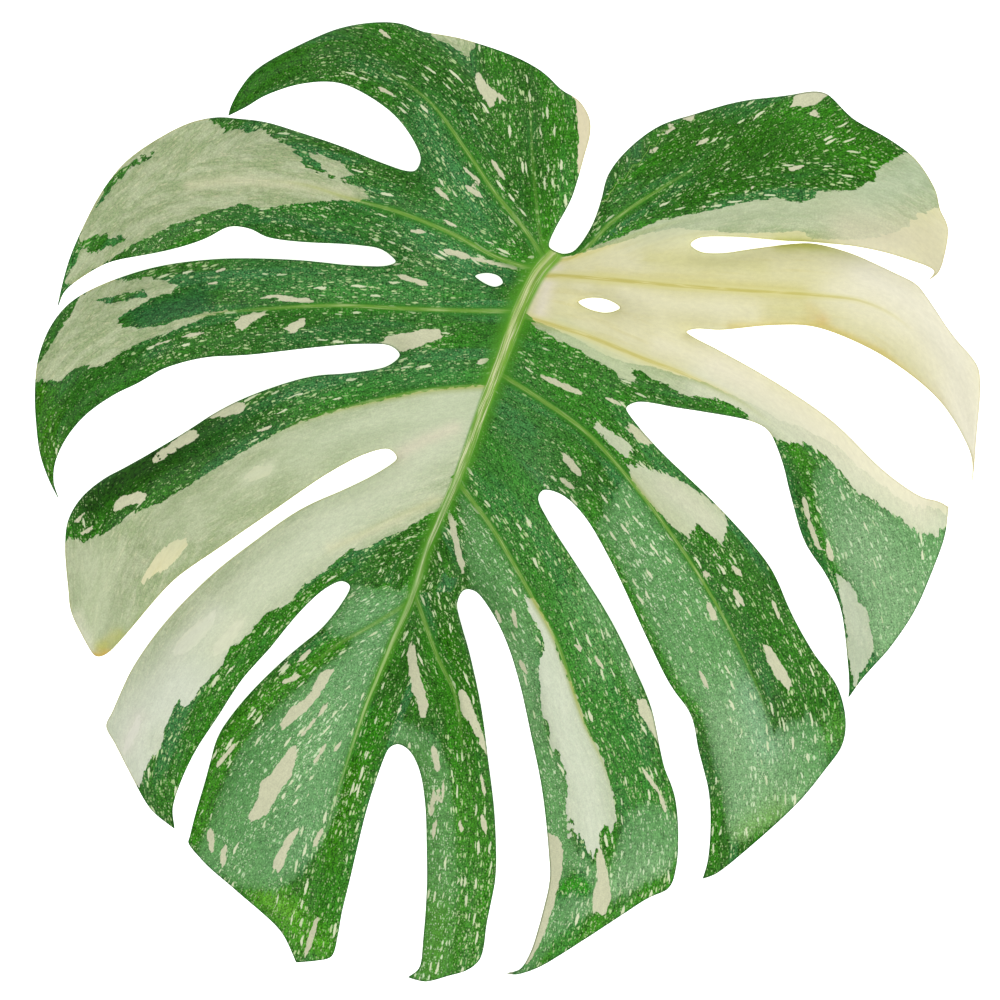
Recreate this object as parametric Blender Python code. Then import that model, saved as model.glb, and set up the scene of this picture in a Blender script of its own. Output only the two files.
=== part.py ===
"""A cut leaf blade of a variegated split-leaf monstera, lying face up on a flat surface.

The whole leaf is one grown piece, so it is one closed solid: a thin blade cut into twelve
lobes, two small holes beside the midrib, and the ribs that stand out of its underside.
Metres, +Z up. The surface under the leaf is z = 0, and the leaf's length runs along Y.
"""

import math

import bmesh
import bpy
import numpy as np
from mathutils.geometry import delaunay_2d_cdt

# Driving dimensions
LEAF_WIDTH = 0.378
BLADE_THICKNESS = 0.0007
MIDRIB_DEPTH = 0.0046
MIDRIB_HALF_WIDTH = 0.0034
SIDE_RIB_DEPTH = 0.0017
SIDE_RIB_HALF_WIDTH = 0.0019
CREASE_DEPTH = 0.0007
CREASE_HALF_WIDTH = 0.0045
BULGE_HEIGHT = 0.0020
BULGE_REACH = 0.014
MIDRIB_SIDE_DROOP = 0.0036
EDGE_WAVE = 0.0007
EDGE_WAVE_LENGTH = 0.034

# Mesh spacing
EDGE_TOLERANCE = 0.00012
LONGEST_EDGE_STEP = 0.0085
VEIN_STEP = 0.0085
GRID_STEP = 0.0095

# The outline, in pixels of the photograph, x to the right and y down. Each run is one smooth
# curve from a lobe's point or corner to the next, anticlockwise from the notch at the stalk.
OUTLINE_RUNS = {
    "left lobe 1, outer edge": [
        (562, 254), (549, 247), (554, 231), (571, 199), (582, 163), (590, 132), (589, 118),
        (579, 101), (562, 90), (543, 72), (527, 62), (512, 55), (493, 48), (458, 38),
        (422, 32), (403, 25), (380, 23), (343, 28), (307, 42), (257, 69), (241, 87),
        (231, 105), (228, 115),
    ],
    "first left cut and left lobe 2": [
        (228, 115), (246, 106), (263, 96), (300, 84), (338, 83), (368, 96), (397, 118),
        (416, 145), (421, 160), (416, 171), (408, 172), (380, 163), (341, 147), (303, 134),
        (265, 122), (234, 118), (219, 117), (192, 122), (157, 140), (125, 163), (104, 189),
        (84, 225), (68, 262), (60, 292), (57, 307),
    ],
    "second left cut and left lobe 3": [
        (57, 307), (64, 291), (84, 275), (109, 262), (138, 256), (173, 249), (205, 239),
        (230, 227), (250, 229), (267, 237), (300, 242), (353, 245), (380, 249), (390, 255),
        (396, 262), (388, 266), (353, 266), (302, 261), (250, 259), (211, 260), (163, 266),
        (119, 278), (84, 293), (65, 307), (49, 329), (38, 360), (35, 391), (36, 423),
        (40, 455), (49, 481), (58, 499),
    ],
    "third left cut, left lobe 4 and fourth left cut": [
        (58, 499), (53, 483), (54, 464), (64, 441), (83, 417), (110, 397), (142, 381),
        (163, 369), (203, 358), (248, 355), (320, 347), (360, 344), (391, 346), (400, 355),
        (388, 366), (353, 373), (311, 377), (264, 391), (223, 409), (180, 436), (132, 464),
        (104, 479), (81, 498), (68, 520), (65, 546), (68, 586), (71, 612), (86, 643),
        (95, 656), (104, 655), (123, 637), (152, 603), (176, 578), (223, 545), (271, 512),
        (330, 472), (365, 454), (389, 449), (397, 458), (384, 469), (348, 488), (320, 500),
        (295, 513), (250, 545), (212, 575), (164, 624), (132, 669), (114, 708), (106, 726),
    ],
    "left lobe 5, outer edge": [
        (106, 726), (119, 752), (135, 783), (151, 810), (174, 829),
    ],
    "fifth left cut": [
        (174, 829), (172, 810), (178, 788), (194, 753), (218, 716), (243, 678), (269, 649),
        (296, 616), (323, 590), (342, 581), (350, 586), (342, 603), (321, 629), (293, 652),
        (257, 686), (232, 715), (218, 737), (207, 775), (194, 819), (188, 843),
    ],
    "end lobe, left edge": [
        (188, 843), (204, 863), (236, 891), (280, 931), (291, 951), (296, 963),
    ],
    "end lobe, right edge and last right cut": [
        (296, 963), (317, 961), (331, 957), (336, 943), (341, 915), (350, 878), (360, 835),
        (369, 801), (382, 763), (389, 748), (398, 744), (409, 750), (419, 768), (425, 800),
        (427, 856), (427, 888), (423, 943), (419, 969), (408, 978),
    ],
    "right lobe 6 and fifth right cut": [
        (408, 978), (425, 982), (446, 977), (468, 970), (480, 959), (487, 921), (495, 880),
        (496, 858), (494, 810), (488, 760), (481, 707), (469, 652), (460, 620), (457, 603),
        (464, 590), (475, 591), (490, 609), (506, 640), (520, 684), (530, 729), (542, 788),
        (549, 852), (550, 880), (541, 920), (531, 952), (520, 970), (506, 974),
    ],
    "right lobe 5 and fourth right cut": [
        (506, 974), (516, 975), (538, 968), (567, 951), (615, 920), (647, 899), (669, 888),
        (676, 868), (678, 829), (674, 794), (664, 767), (651, 708), (638, 676), (610, 619),
        (577, 566), (552, 527), (538, 498), (543, 490), (561, 494), (583, 514), (612, 563),
        (648, 640), (670, 684), (691, 715), (699, 751), (709, 791), (711, 825), (708, 862),
        (703, 879),
    ],
    "right lobe 4 and third right cut": [
        (703, 879), (716, 874), (748, 849), (800, 801), (828, 766), (842, 746), (846, 722),
        (838, 688), (813, 652), (792, 615), (772, 571), (751, 543), (713, 502), (656, 447),
        (630, 416), (626, 408), (636, 402), (679, 408), (722, 415), (750, 421), (767, 430),
        (780, 456), (792, 501), (805, 542), (828, 578), (841, 609), (847, 649), (850, 687),
        (849, 698),
    ],
    "right lobe 3, outer edge": [
        (849, 698), (864, 677), (889, 649), (914, 612), (931, 574), (945, 536), (949, 507),
    ],
    "right lobe 3 and second right cut": [
        (949, 507), (940, 502), (922, 497), (885, 472), (836, 425), (805, 402), (762, 375),
        (717, 350), (694, 338), (686, 332), (694, 329), (721, 330), (762, 326), (808, 326),
        (844, 337), (891, 361), (939, 400), (966, 441), (973, 461), (973, 483),
    ],
    "right lobe 2 and first right cut": [
        (973, 483), (975, 462), (976, 445), (978, 419), (980, 385), (977, 366), (951, 334),
        (927, 298), (917, 285), (887, 270), (851, 254), (831, 248), (811, 244), (788, 245),
        (750, 250), (718, 254), (699, 252), (690, 245), (697, 239), (730, 237), (784, 241),
        (811, 242), (833, 244), (860, 247), (902, 257), (935, 271), (929, 280),
    ],
    "right lobe 1, outer edge": [
        (929, 280), (939, 272), (946, 250), (948, 227), (940, 209), (936, 192), (916, 160),
        (887, 138), (853, 118), (833, 98), (826, 93), (815, 91), (784, 96), (739, 102),
        (697, 114), (657, 128), (625, 153), (608, 176), (601, 201), (591, 228), (573, 252),
        (562, 254),
    ],
}

HOLES = {
    "hole left of the midrib": [
        (475, 276), (488, 273), (500, 277), (503, 283), (495, 287), (482, 282),
    ],
    "hole right of the midrib": [
        (578, 302), (589, 298), (608, 300), (620, 308), (608, 313), (588, 309),
    ],
}

# Centre lines of the ribs, in the same pixels, from the stalk end outwards
MIDRIB = [
    (554, 255), (539, 272), (520, 310), (503, 355), (480, 416), (457, 479), (430, 540),
    (414, 591), (393, 641), (366, 706), (343, 775), (323, 843), (312, 900), (298, 958),
]

# Each side rib: how high it arches over the surface and how far the blade's edges beside it
# bend down, both in metres, and its centre line in pixels
SIDE_RIBS = {
    "left lobe 1, upper rib": (
        0.012, 0.0075,
        [(549, 262), (541, 240), (536, 200), (532, 150), (530, 110), (525, 66)],
    ),
    "left lobe 1, lower rib": (
        0.015, 0.0042,
        [(546, 262), (527, 233), (496, 195), (466, 151), (428, 101), (380, 70), (340, 58),
         (300, 65), (265, 82), (236, 106)],
    ),
    "left lobe 2": (
        0.017, 0.0045,
        [(543, 267), (527, 267), (502, 260), (449, 233), (399, 213), (352, 200), (296, 184),
         (232, 183), (179, 190), (140, 205), (105, 235), (70, 280)],
    ),
    "left lobe 3": (
        0.016, 0.0045,
        [(520, 311), (475, 311), (407, 309), (336, 306), (271, 309), (211, 315), (171, 324),
         (116, 352), (84, 375), (60, 407), (48, 439), (50, 475)],
    ),
    "left lobe 4": (
        0.015, 0.0042,
        [(492, 385), (464, 387), (423, 391), (343, 409), (296, 424), (248, 449), (199, 479),
         (158, 505), (138, 532), (118, 572), (105, 610), (97, 646)],
    ),
    "left lobe 5": (
        0.013, 0.0042,
        [(451, 496), (400, 515), (350, 540), (300, 575), (255, 620), (215, 670), (185, 720),
         (165, 770), (170, 822)],
    ),
    "end lobe, left rib": (
        0.008, 0.0036,
        [(410, 602), (374, 624), (333, 648), (300, 677), (250, 740), (220, 790), (196, 836)],
    ),
    "right lobe 1, upper rib": (
        0.014, 0.0042,
        [(552, 263), (576, 257), (592, 243), (611, 223), (669, 184), (739, 143), (773, 118),
         (820, 96)],
    ),
    "right lobe 1, lower rib": (
        0.015, 0.0042,
        [(549, 266), (600, 250), (650, 230), (717, 213), (790, 205), (850, 210), (900, 229),
         (938, 262)],
    ),
    "right lobe 2": (
        0.020, 0.0085,
        [(539, 275), (590, 278), (650, 284), (739, 291), (817, 296), (865, 303), (905, 325),
         (942, 368), (966, 420), (973, 470)],
    ),
    "right lobe 3": (
        0.015, 0.0048,
        [(518, 315), (584, 335), (641, 358), (690, 377), (750, 408), (790, 440), (822, 490),
         (838, 550), (845, 610), (848, 688)],
    ),
    "right lobe 4": (
        0.014, 0.0042,
        [(497, 372), (543, 401), (589, 435), (640, 493), (692, 565), (732, 634), (765, 709),
         (773, 759), (774, 782), (772, 816)],
    ),
    "right lobe 5": (
        0.013, 0.0042,
        [(457, 481), (494, 531), (536, 604), (557, 643), (584, 722), (605, 769), (619, 836),
         (617, 885), (609, 921)],
    ),
    "right lobe 6": (
        0.009, 0.0038,
        [(414, 592), (437, 656), (455, 695), (463, 751), (466, 783), (464, 850), (455, 920),
         (444, 972)],
    ),
}


def smooth_curve(points, closed=False, steps=24):
    """Points along a centripetal Catmull-Rom curve through the given ones."""
    p = np.array(points, float)
    if closed:
        p = np.vstack([p[-1], p, p[0], p[1]])
    else:
        p = np.vstack([2 * p[0] - p[1], p, 2 * p[-1] - p[-2]])
    out = []
    for p0, p1, p2, p3 in zip(p, p[1:], p[2:], p[3:]):
        t1 = math.sqrt(np.linalg.norm(p1 - p0))
        t2 = t1 + math.sqrt(np.linalg.norm(p2 - p1))
        t3 = t2 + math.sqrt(np.linalg.norm(p3 - p2))
        t = np.linspace(t1, t2, steps, endpoint=False)[:, None]
        a1 = (t1 - t) / t1 * p0 + t / t1 * p1
        a2 = (t2 - t) / (t2 - t1) * p1 + (t - t1) / (t2 - t1) * p2
        a3 = (t3 - t) / (t3 - t2) * p2 + (t - t2) / (t3 - t2) * p3
        b1 = (t2 - t) / t2 * a1 + t / t2 * a2
        b2 = (t3 - t) / (t3 - t1) * a2 + (t - t1) / (t3 - t1) * a3
        out.append((t2 - t) / (t2 - t1) * b1 + (t - t1) / (t2 - t1) * b2)
    if not closed:
        out.append(p[-2][None])
    return np.vstack(out)


def leaf_frame():
    """The scale in metres for a pixel, and the pixel at the middle of the leaf's box."""
    outline = np.vstack([smooth_curve(run) for run in OUTLINE_RUNS.values()])
    low, high = outline.min(axis=0), outline.max(axis=0)
    return LEAF_WIDTH / (high[0] - low[0]), (low + high) / 2


METRES_PER_PIXEL, MIDDLE_PIXEL = leaf_frame()


def to_metres(pixels):
    """Pixels of the photograph as metres in the leaf's frame, with Y up the picture."""
    return (np.asarray(pixels) - MIDDLE_PIXEL) * METRES_PER_PIXEL * (1, -1)


def thinned(points, closed=False):
    """As few of the points as keep the line within EDGE_TOLERANCE and LONGEST_EDGE_STEP."""
    kept = [0]
    last = len(points) - 1
    while kept[-1] < last:
        start = kept[-1]
        end = start + 1
        while end < last:
            chord = points[end + 1] - points[start]
            length = np.linalg.norm(chord)
            between = points[start + 1 : end + 1] - points[start]
            off = np.abs(between[:, 0] * chord[1] - between[:, 1] * chord[0]) / length
            if off.max() > EDGE_TOLERANCE or length > LONGEST_EDGE_STEP:
                break
            end += 1
        kept.append(end)
    if closed:
        kept.pop()
    return points[kept]


def outline_loop():
    """The whole outer edge as one closed loop, with every run's ends kept."""
    runs = [thinned(to_metres(smooth_curve(run)), closed=True) for run in OUTLINE_RUNS.values()]
    return np.vstack(runs)


def hole_loop(points):
    curve = to_metres(smooth_curve(points, closed=True))
    return thinned(np.vstack([curve, curve[:1]]), closed=True)


OUTLINE = outline_loop()
HOLE_LOOPS = [hole_loop(points) for points in HOLES.values()]


class Line:
    """A rib's centre line, which gives distance and share of length for any points."""

    def __init__(self, pixels):
        self.points = to_metres(smooth_curve(pixels, steps=8))
        steps = np.linalg.norm(np.diff(self.points, axis=0), axis=1)
        self.along = np.concatenate([[0], np.cumsum(steps)])
        self.length = self.along[-1]

    def measure(self, xy):
        """For each point: its distance from the line, and where its foot is, from 0 to 1."""
        a, b = self.points[:-1], self.points[1:]
        ab = b - a
        rel = xy[:, None, :] - a[None]
        t = np.clip((rel * ab).sum(axis=2) / (ab**2).sum(axis=1), 0, 1)
        gap = np.linalg.norm(rel - t[..., None] * ab, axis=2)
        best = gap.argmin(axis=1)
        rows = np.arange(len(xy))
        foot = self.along[best] + t[rows, best] * np.diff(self.along)[best]
        return gap[rows, best], foot / self.length

    def stations(self, start, step):
        """Evenly spaced points from a distance after the start to the end, with unit normals."""
        count = max(2, round((self.length - start) / step) + 1)
        at = np.linspace(start, self.length, count)
        points = np.column_stack([np.interp(at, self.along, self.points[:, k]) for k in (0, 1)])
        ahead = np.gradient(points, axis=0)
        ahead /= np.linalg.norm(ahead, axis=1)[:, None]
        return points, np.column_stack([-ahead[:, 1], ahead[:, 0]]), at / self.length


MIDRIB_LINE = Line(MIDRIB)
SIDE_LINES = [(Line(points), arch, droop) for arch, droop, points in SIDE_RIBS.values()]


def edge_distance(xy):
    """Distance from each point to the nearest edge of the leaf or of a hole."""
    loops = [OUTLINE, *HOLE_LOOPS]
    a = np.vstack(loops)
    ab = np.vstack([np.roll(loop, -1, axis=0) for loop in loops]) - a
    rel = xy[:, None, :] - a[None]
    t = np.clip((rel * ab).sum(axis=2) / (ab**2).sum(axis=1), 0, 1)
    return np.linalg.norm(rel - t[..., None] * ab, axis=2).min(axis=1)


def inside_leaf(xy):
    """True for the points inside the outline and outside the holes."""
    crossings = np.zeros(len(xy), int)
    for loop in [OUTLINE, *HOLE_LOOPS]:
        for (x0, y0), (x1, y1) in zip(loop, np.roll(loop, -1, axis=0)):
            spans = (y0 > xy[:, 1]) != (y1 > xy[:, 1])
            if spans.any():
                crossing_x = x0 + (xy[:, 1] - y0) * (x1 - x0) / (y1 - y0)
                crossings += spans & (xy[:, 0] < crossing_x)
    return crossings % 2 == 1


def taper(share):
    """A rib's size along its length, from 1 at the root to a quarter at the end."""
    return 1 - 0.75 * share


def midrib_bottom(share):
    """Height of the keel: raised at the stalk end, on the surface in the middle, low arch after."""
    raised = 0.006 * np.clip(1 - share / 0.24, 0, 1) ** 2
    late = np.clip((share - 0.50) / 0.50, 0, 1)
    return raised + 0.005 * np.sin(math.pi * late) ** 2


def midrib_top(share):
    return midrib_bottom(share) + MIDRIB_DEPTH * taper(share) + BLADE_THICKNESS


def face_height(xy):
    """Height of the leaf's upper face over the surface.

    Each rib has a height along its length, and the blade takes the heights of the ribs near
    it. Then it sinks into a crease over each rib, bulges beside it and bends down at the edge.
    """
    gap, share = MIDRIB_LINE.measure(xy)
    gaps, shares = [gap], [share]
    heights = [midrib_top(share)]
    droops = [np.full(len(xy), MIDRIB_SIDE_DROOP)]
    for line, arch, droop in SIDE_LINES:
        gap, share = line.measure(xy)
        root = midrib_top(MIDRIB_LINE.measure(line.points[:1])[1])
        rise = arch * np.sin(math.pi * share**0.8) * (1 + 0.25 * share)
        gaps.append(gap)
        shares.append(share)
        heights.append(root * (1 - share) ** 2 + BLADE_THICKNESS * share + rise)
        droops.append(np.full(len(xy), droop))
    weight = 1 / (np.array(gaps) + 0.002) ** 3
    weight /= weight.sum(axis=0)
    base = (weight * heights).sum(axis=0)
    share = (weight * shares).sum(axis=0)
    droop = (weight * droops).sum(axis=0)
    gap = ((np.array(gaps) + 1e-6) ** -4.0).sum(axis=0) ** -0.25
    across = gap / (gap + edge_distance(xy) + 1e-9)
    spread = np.clip(gap / BULGE_REACH, 0, 1)
    bulge = BULGE_HEIGHT * np.sin(math.pi * across) * spread
    bend = droop * across**2 * spread * (1 - share**2)
    phase = 2 * math.pi * (0.8 * xy[:, 0] + 0.6 * xy[:, 1]) / EDGE_WAVE_LENGTH
    wave = EDGE_WAVE * across**2 * np.sin(phase) * spread
    crease = CREASE_DEPTH * np.exp(-((gap / CREASE_HALF_WIDTH) ** 2))
    return base + bulge - bend + wave - crease


def rib_depth(xy):
    """How far the ribs reach below the blade's underside."""
    gap, share = MIDRIB_LINE.measure(xy)
    half = MIDRIB_HALF_WIDTH * taper(share)
    depth = MIDRIB_DEPTH * taper(share) * np.clip((half - gap) / (0.6 * half), 0, 1)
    for line, _, _ in SIDE_LINES:
        gap, share = line.measure(xy)
        half = SIDE_RIB_HALF_WIDTH * taper(share)
        rib = SIDE_RIB_DEPTH * taper(share) * np.clip((half - gap) / half, 0, 1)
        depth = np.maximum(depth, rib)
    return depth


def faces_heights(xy):
    """Heights of the upper and lower face, with the lower face never under the surface."""
    step = 0.0008
    top = face_height(xy)
    slope_x = (face_height(xy + (step, 0)) - face_height(xy - (step, 0))) / (2 * step)
    slope_y = (face_height(xy + (0, step)) - face_height(xy - (0, step))) / (2 * step)
    thickness = BLADE_THICKNESS * np.sqrt(1 + slope_x**2 + slope_y**2)
    bottom = np.maximum(top - thickness - rib_depth(xy), 0)
    return np.maximum(top, bottom + thickness), bottom


def rib_rows():
    """Rows of points along each rib: the keel's two edges and feet, and a side rib's top and feet."""
    rows = []
    points, side, share = MIDRIB_LINE.stations(0.001, VEIN_STEP)
    half = MIDRIB_HALF_WIDTH * taper(share)[:, None]
    for offset in (-1, -0.4, 0.4, 1):
        rows.append(points + side * half * offset)
    for line, _, _ in SIDE_LINES:
        points, side, share = line.stations(0.006, VEIN_STEP)
        half = SIDE_RIB_HALF_WIDTH * taper(share)[:, None]
        for offset in (-1, 0, 1):
            rows.append(points + side * half * offset)
    return rows


def grid_points():
    """A hexagonal grid over the leaf."""
    low, high = OUTLINE.min(axis=0), OUTLINE.max(axis=0)
    points = []
    row_step = GRID_STEP * math.sqrt(3) / 2
    for row in range(int((high[1] - low[1]) / row_step) + 1):
        shift = GRID_STEP / 2 if row % 2 else 0
        x = np.arange(low[0] + shift, high[0], GRID_STEP)
        points.append(np.column_stack([x, np.full(len(x), low[1] + row * row_step)]))
    return np.vstack(points)


def plan_triangles():
    """The leaf seen from above, as points and triangles."""
    points = []
    edges = []
    for loop in [OUTLINE, *HOLE_LOOPS]:
        first = len(points)
        points.extend(loop)
        count = len(loop)
        edges.extend((first + k, first + (k + 1) % count) for k in range(count))
    placed = np.array(points)
    for row in rib_rows():
        clear = inside_leaf(row) & (edge_distance(row) > 0.0011)
        apart = np.linalg.norm(row[:, None] - placed[None], axis=2).min(axis=1) > 0.0010
        previous = None
        for point, keep in zip(row, clear & apart):
            if not keep:
                previous = None
                continue
            points.append(point)
            if previous is not None:
                edges.append((previous, len(points) - 1))
            previous = len(points) - 1
        placed = np.array(points)
    grid = grid_points()
    grid = grid[inside_leaf(grid)]
    grid = grid[edge_distance(grid) > 0.45 * GRID_STEP]
    inner = placed[sum(map(len, [OUTLINE, *HOLE_LOOPS])) :]
    grid = grid[np.linalg.norm(grid[:, None] - inner[None], axis=2).min(axis=1) > 0.6 * GRID_STEP]
    points.extend(grid)
    flat, _, triangles, *_ = delaunay_2d_cdt([tuple(p) for p in points], edges, [], 0, 1e-7)
    flat = np.array([tuple(p) for p in flat])
    triangles = np.array(triangles)
    triangles = triangles[inside_leaf(flat[triangles].mean(axis=1))]
    used, triangles = np.unique(triangles, return_inverse=True)
    return flat[used], triangles.reshape(-1, 3)


def leaf_material():
    material = bpy.data.materials.new("leaf_green")
    material.use_nodes = True
    shader = material.node_tree.nodes["Principled BSDF"]
    shader.inputs["Base Color"].default_value = (0.020, 0.130, 0.022, 1)
    shader.inputs["Roughness"].default_value = 0.42
    shader.inputs["Metallic"].default_value = 0
    return material


def make_leaf():
    """The closed solid: the same triangles on both faces, joined by a thin wall at each edge."""
    flat, triangles = plan_triangles()
    top, bottom = faces_heights(flat)
    count = len(flat)
    points = np.vstack([np.column_stack([flat, top]), np.column_stack([flat, bottom])])
    a, b, c = (flat[triangles[:, k]] for k in range(3))
    turn = (b[:, 0] - a[:, 0]) * (c[:, 1] - a[:, 1]) - (b[:, 1] - a[:, 1]) * (c[:, 0] - a[:, 0])
    triangles[turn < 0] = triangles[turn < 0][:, ::-1]
    upper = [tuple(map(int, t)) for t in triangles]
    lower = [(i + count, k + count, j + count) for i, j, k in upper]
    sides = set()
    for i, j, k in upper:
        sides |= {(i, j), (j, k), (k, i)}
    rim = []
    for i, j in sorted(sides):
        if (j, i) not in sides:
            rim += [(i, i + count, j + count), (i, j + count, j)]
    mesh = bpy.data.meshes.new("leaf")
    mesh.from_pydata([tuple(map(float, p)) for p in points], [], upper + lower + rim)
    work = bmesh.new()
    work.from_mesh(mesh)
    bmesh.ops.recalc_face_normals(work, faces=work.faces)
    work.to_mesh(mesh)
    work.free()
    mesh.shade_smooth()
    mesh.set_sharp_from_angle(angle=math.radians(50))
    mesh.materials.append(leaf_material())
    leaf = bpy.data.objects.new("leaf", mesh)
    bpy.context.scene.collection.objects.link(leaf)
    return leaf


for old in list(bpy.data.objects):
    bpy.data.objects.remove(old)
made = make_leaf()
print("leaf", len(made.data.polygons), "triangles", [round(side, 4) for side in made.dimensions])
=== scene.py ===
# %% [markdown]
# A variegated monstera leaf, cut from its stalk, lies face up on a pale table. The real leaf is
# one grown piece: a leathery blade as thin as card, cut into lobes, with a thick midrib and side
# ribs that sink its upper face and stand out below. The imported model already holds that form, so
# this lesson starts from it, makes a finer blade in the same place, and grows the ribs beneath.
# Then it paints the skin in layers, as the plant does: green, frosted sage, cream, and flecks,
# and over them some painted sheen and painted shade.

# %% Load the frame
import math

import bmesh
import bpy
import numpy as np
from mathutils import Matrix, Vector, kdtree, noise
from mathutils.geometry import delaunay_2d_cdt


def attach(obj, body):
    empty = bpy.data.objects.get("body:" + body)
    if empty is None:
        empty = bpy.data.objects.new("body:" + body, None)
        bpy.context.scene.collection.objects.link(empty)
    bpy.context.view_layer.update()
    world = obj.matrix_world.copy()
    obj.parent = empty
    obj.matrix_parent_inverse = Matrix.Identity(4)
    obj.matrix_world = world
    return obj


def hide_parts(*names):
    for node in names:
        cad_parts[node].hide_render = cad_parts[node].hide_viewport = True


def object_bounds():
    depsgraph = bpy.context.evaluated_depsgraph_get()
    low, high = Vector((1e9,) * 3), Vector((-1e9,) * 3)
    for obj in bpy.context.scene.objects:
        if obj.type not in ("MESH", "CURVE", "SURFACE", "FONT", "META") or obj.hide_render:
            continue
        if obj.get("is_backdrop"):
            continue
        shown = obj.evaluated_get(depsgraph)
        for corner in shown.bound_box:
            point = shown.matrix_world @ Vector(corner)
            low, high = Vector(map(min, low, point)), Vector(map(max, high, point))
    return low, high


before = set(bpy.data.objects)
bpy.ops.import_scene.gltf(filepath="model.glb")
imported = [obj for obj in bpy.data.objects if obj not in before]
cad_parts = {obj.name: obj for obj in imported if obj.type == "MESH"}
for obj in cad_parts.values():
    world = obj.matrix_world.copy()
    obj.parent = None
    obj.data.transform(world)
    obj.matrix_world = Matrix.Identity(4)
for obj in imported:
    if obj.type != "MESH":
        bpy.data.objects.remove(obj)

cad_box = [list(corner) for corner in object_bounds()]
cad_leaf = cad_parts["leaf"]
print("model box in metres", [[round(v, 4) for v in corner] for corner in cad_box])

# %% [markdown]
# The photograph looks straight down on the leaf, so a pixel of it is a place on the leaf. Its
# marks are given in pixels, and this scale turns them into metres. The leaf's box in
# the model gives the scale, because its left and right edges are known in both.

# %% Turn the photograph's pixels into metres
LEAF_LEFT, LEAF_RIGHT = 34.9, 980.08
LEAF_MIDDLE = (507.49, 502.48)
METRES_PER_PIXEL = (cad_box[1][0] - cad_box[0][0]) / (LEAF_RIGHT - LEAF_LEFT)
MM = 0.001


def to_metres(pixels):
    return (np.asarray(pixels, float) - LEAF_MIDDLE) * METRES_PER_PIXEL * (1, -1)


print("one pixel is", round(METRES_PER_PIXEL / MM, 4), "mm")

# %% [markdown]
# The same few questions about lines come up all through the lesson: which curve runs smoothly
# through given points, how far is a point from a line, and is it inside a loop. A ray to
# the right crosses the sides of a loop an odd number of times if it starts inside. The bell
# gives soft strokes, creases and ridges their rounded form.

# %% Measure curves, lines and loops
FAR = 1.0


def smooth_curve(points, steps=8):
    """Points along a centripetal Catmull-Rom curve through the given ones."""
    p = np.array(points, float)
    p = np.vstack([2 * p[0] - p[1], p, 2 * p[-1] - p[-2]])
    out = []
    for p0, p1, p2, p3 in zip(p, p[1:], p[2:], p[3:]):
        t1 = math.sqrt(np.linalg.norm(p1 - p0))
        t2 = t1 + math.sqrt(np.linalg.norm(p2 - p1))
        t3 = t2 + math.sqrt(np.linalg.norm(p3 - p2))
        t = np.linspace(t1, t2, steps, endpoint=False)[:, None]
        a1 = (t1 - t) / t1 * p0 + t / t1 * p1
        a2 = (t2 - t) / (t2 - t1) * p1 + (t - t1) / (t2 - t1) * p2
        a3 = (t3 - t) / (t3 - t2) * p2 + (t - t2) / (t3 - t2) * p3
        b1 = (t2 - t) / t2 * a1 + t / t2 * a2
        b2 = (t3 - t) / (t3 - t1) * a2 + (t - t1) / (t3 - t1) * a3
        out.append((t2 - t) / (t2 - t1) * b1 + (t - t1) / (t2 - t1) * b2)
    return np.vstack([*out, p[-2]])


def line_gap(line, xy):
    """Distance from each point to a line of straight pieces."""
    gap = np.full(len(xy), FAR)
    for a, b in zip(line, line[1:]):
        t = np.clip((xy - a) @ (b - a) / ((b - a) @ (b - a)), 0, 1)
        gap = np.minimum(gap, np.linalg.norm(xy - a - t[:, None] * (b - a), axis=1))
    return gap


def crossings(loop, xy):
    """How many sides of the loop a ray to the right of each point crosses."""
    count = np.zeros(len(xy), int)
    for (x0, y0), (x1, y1) in zip(loop, np.roll(loop, -1, axis=0)):
        spans = (y0 > xy[:, 1]) != (y1 > xy[:, 1])
        if spans.any():
            crossing_x = x0 + (xy[:, 1] - y0) * (x1 - x0) / (y1 - y0)
            count += spans & (xy[:, 0] < crossing_x)
    return count


def bell(distance, width):
    """1 at no distance, and less than a fiftieth from twice the width on."""
    return np.exp(-((distance / width) ** 2))


print("bell at one and two widths", np.round(bell(np.array([1.0, 2.0]), 1.0), 3))

# %% [markdown]
# The edge of the leaf comes from the model itself: a copy of its mesh is merged, and the edges
# where the thin upright wall meets the upper face form closed loops, one round the leaf and one
# round each hole. The model's edge is a chain of straight steps, so each loop is smoothed again
# between its sharp corners, the lobes' tips, and keeps the points that its bends need.

# %% Read the leaf's edge from the model
MERGE_GAP = 1e-6
WALL_TILT, FACE_TILT = 0.02, 0.05
CORNER_TURN = math.radians(62)
EDGE_STEP = 1.6 * MM
EDGE_TOLERANCE = 0.03 * MM


def rim_loops(node):
    """The closed lines where the upright wall of the model meets its upper face."""
    work = bmesh.new()
    work.from_mesh(node.data)
    bmesh.ops.remove_doubles(work, verts=work.verts, dist=MERGE_GAP)
    work.normal_update()
    work.verts.ensure_lookup_table()
    beside = {}
    for edge in work.edges:
        wall, face = sorted(edge.link_faces, key=lambda f: f.normal.z)
        if abs(wall.normal.z) < WALL_TILT and face.normal.z > FACE_TILT:
            a, b = (vert.index for vert in edge.verts)
            beside.setdefault(a, []).append(b)
            beside.setdefault(b, []).append(a)
    loops = []
    waiting = dict.fromkeys(beside)
    while waiting:
        loop, previous, here = [], None, next(iter(waiting))
        while here in waiting:
            del waiting[here]
            loop.append(work.verts[here].co[:2])
            previous, here = here, next(k for k in beside[here] if k != previous)
        loops.append(np.array(loop))
    work.free()
    return sorted(loops, key=len, reverse=True)


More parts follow.
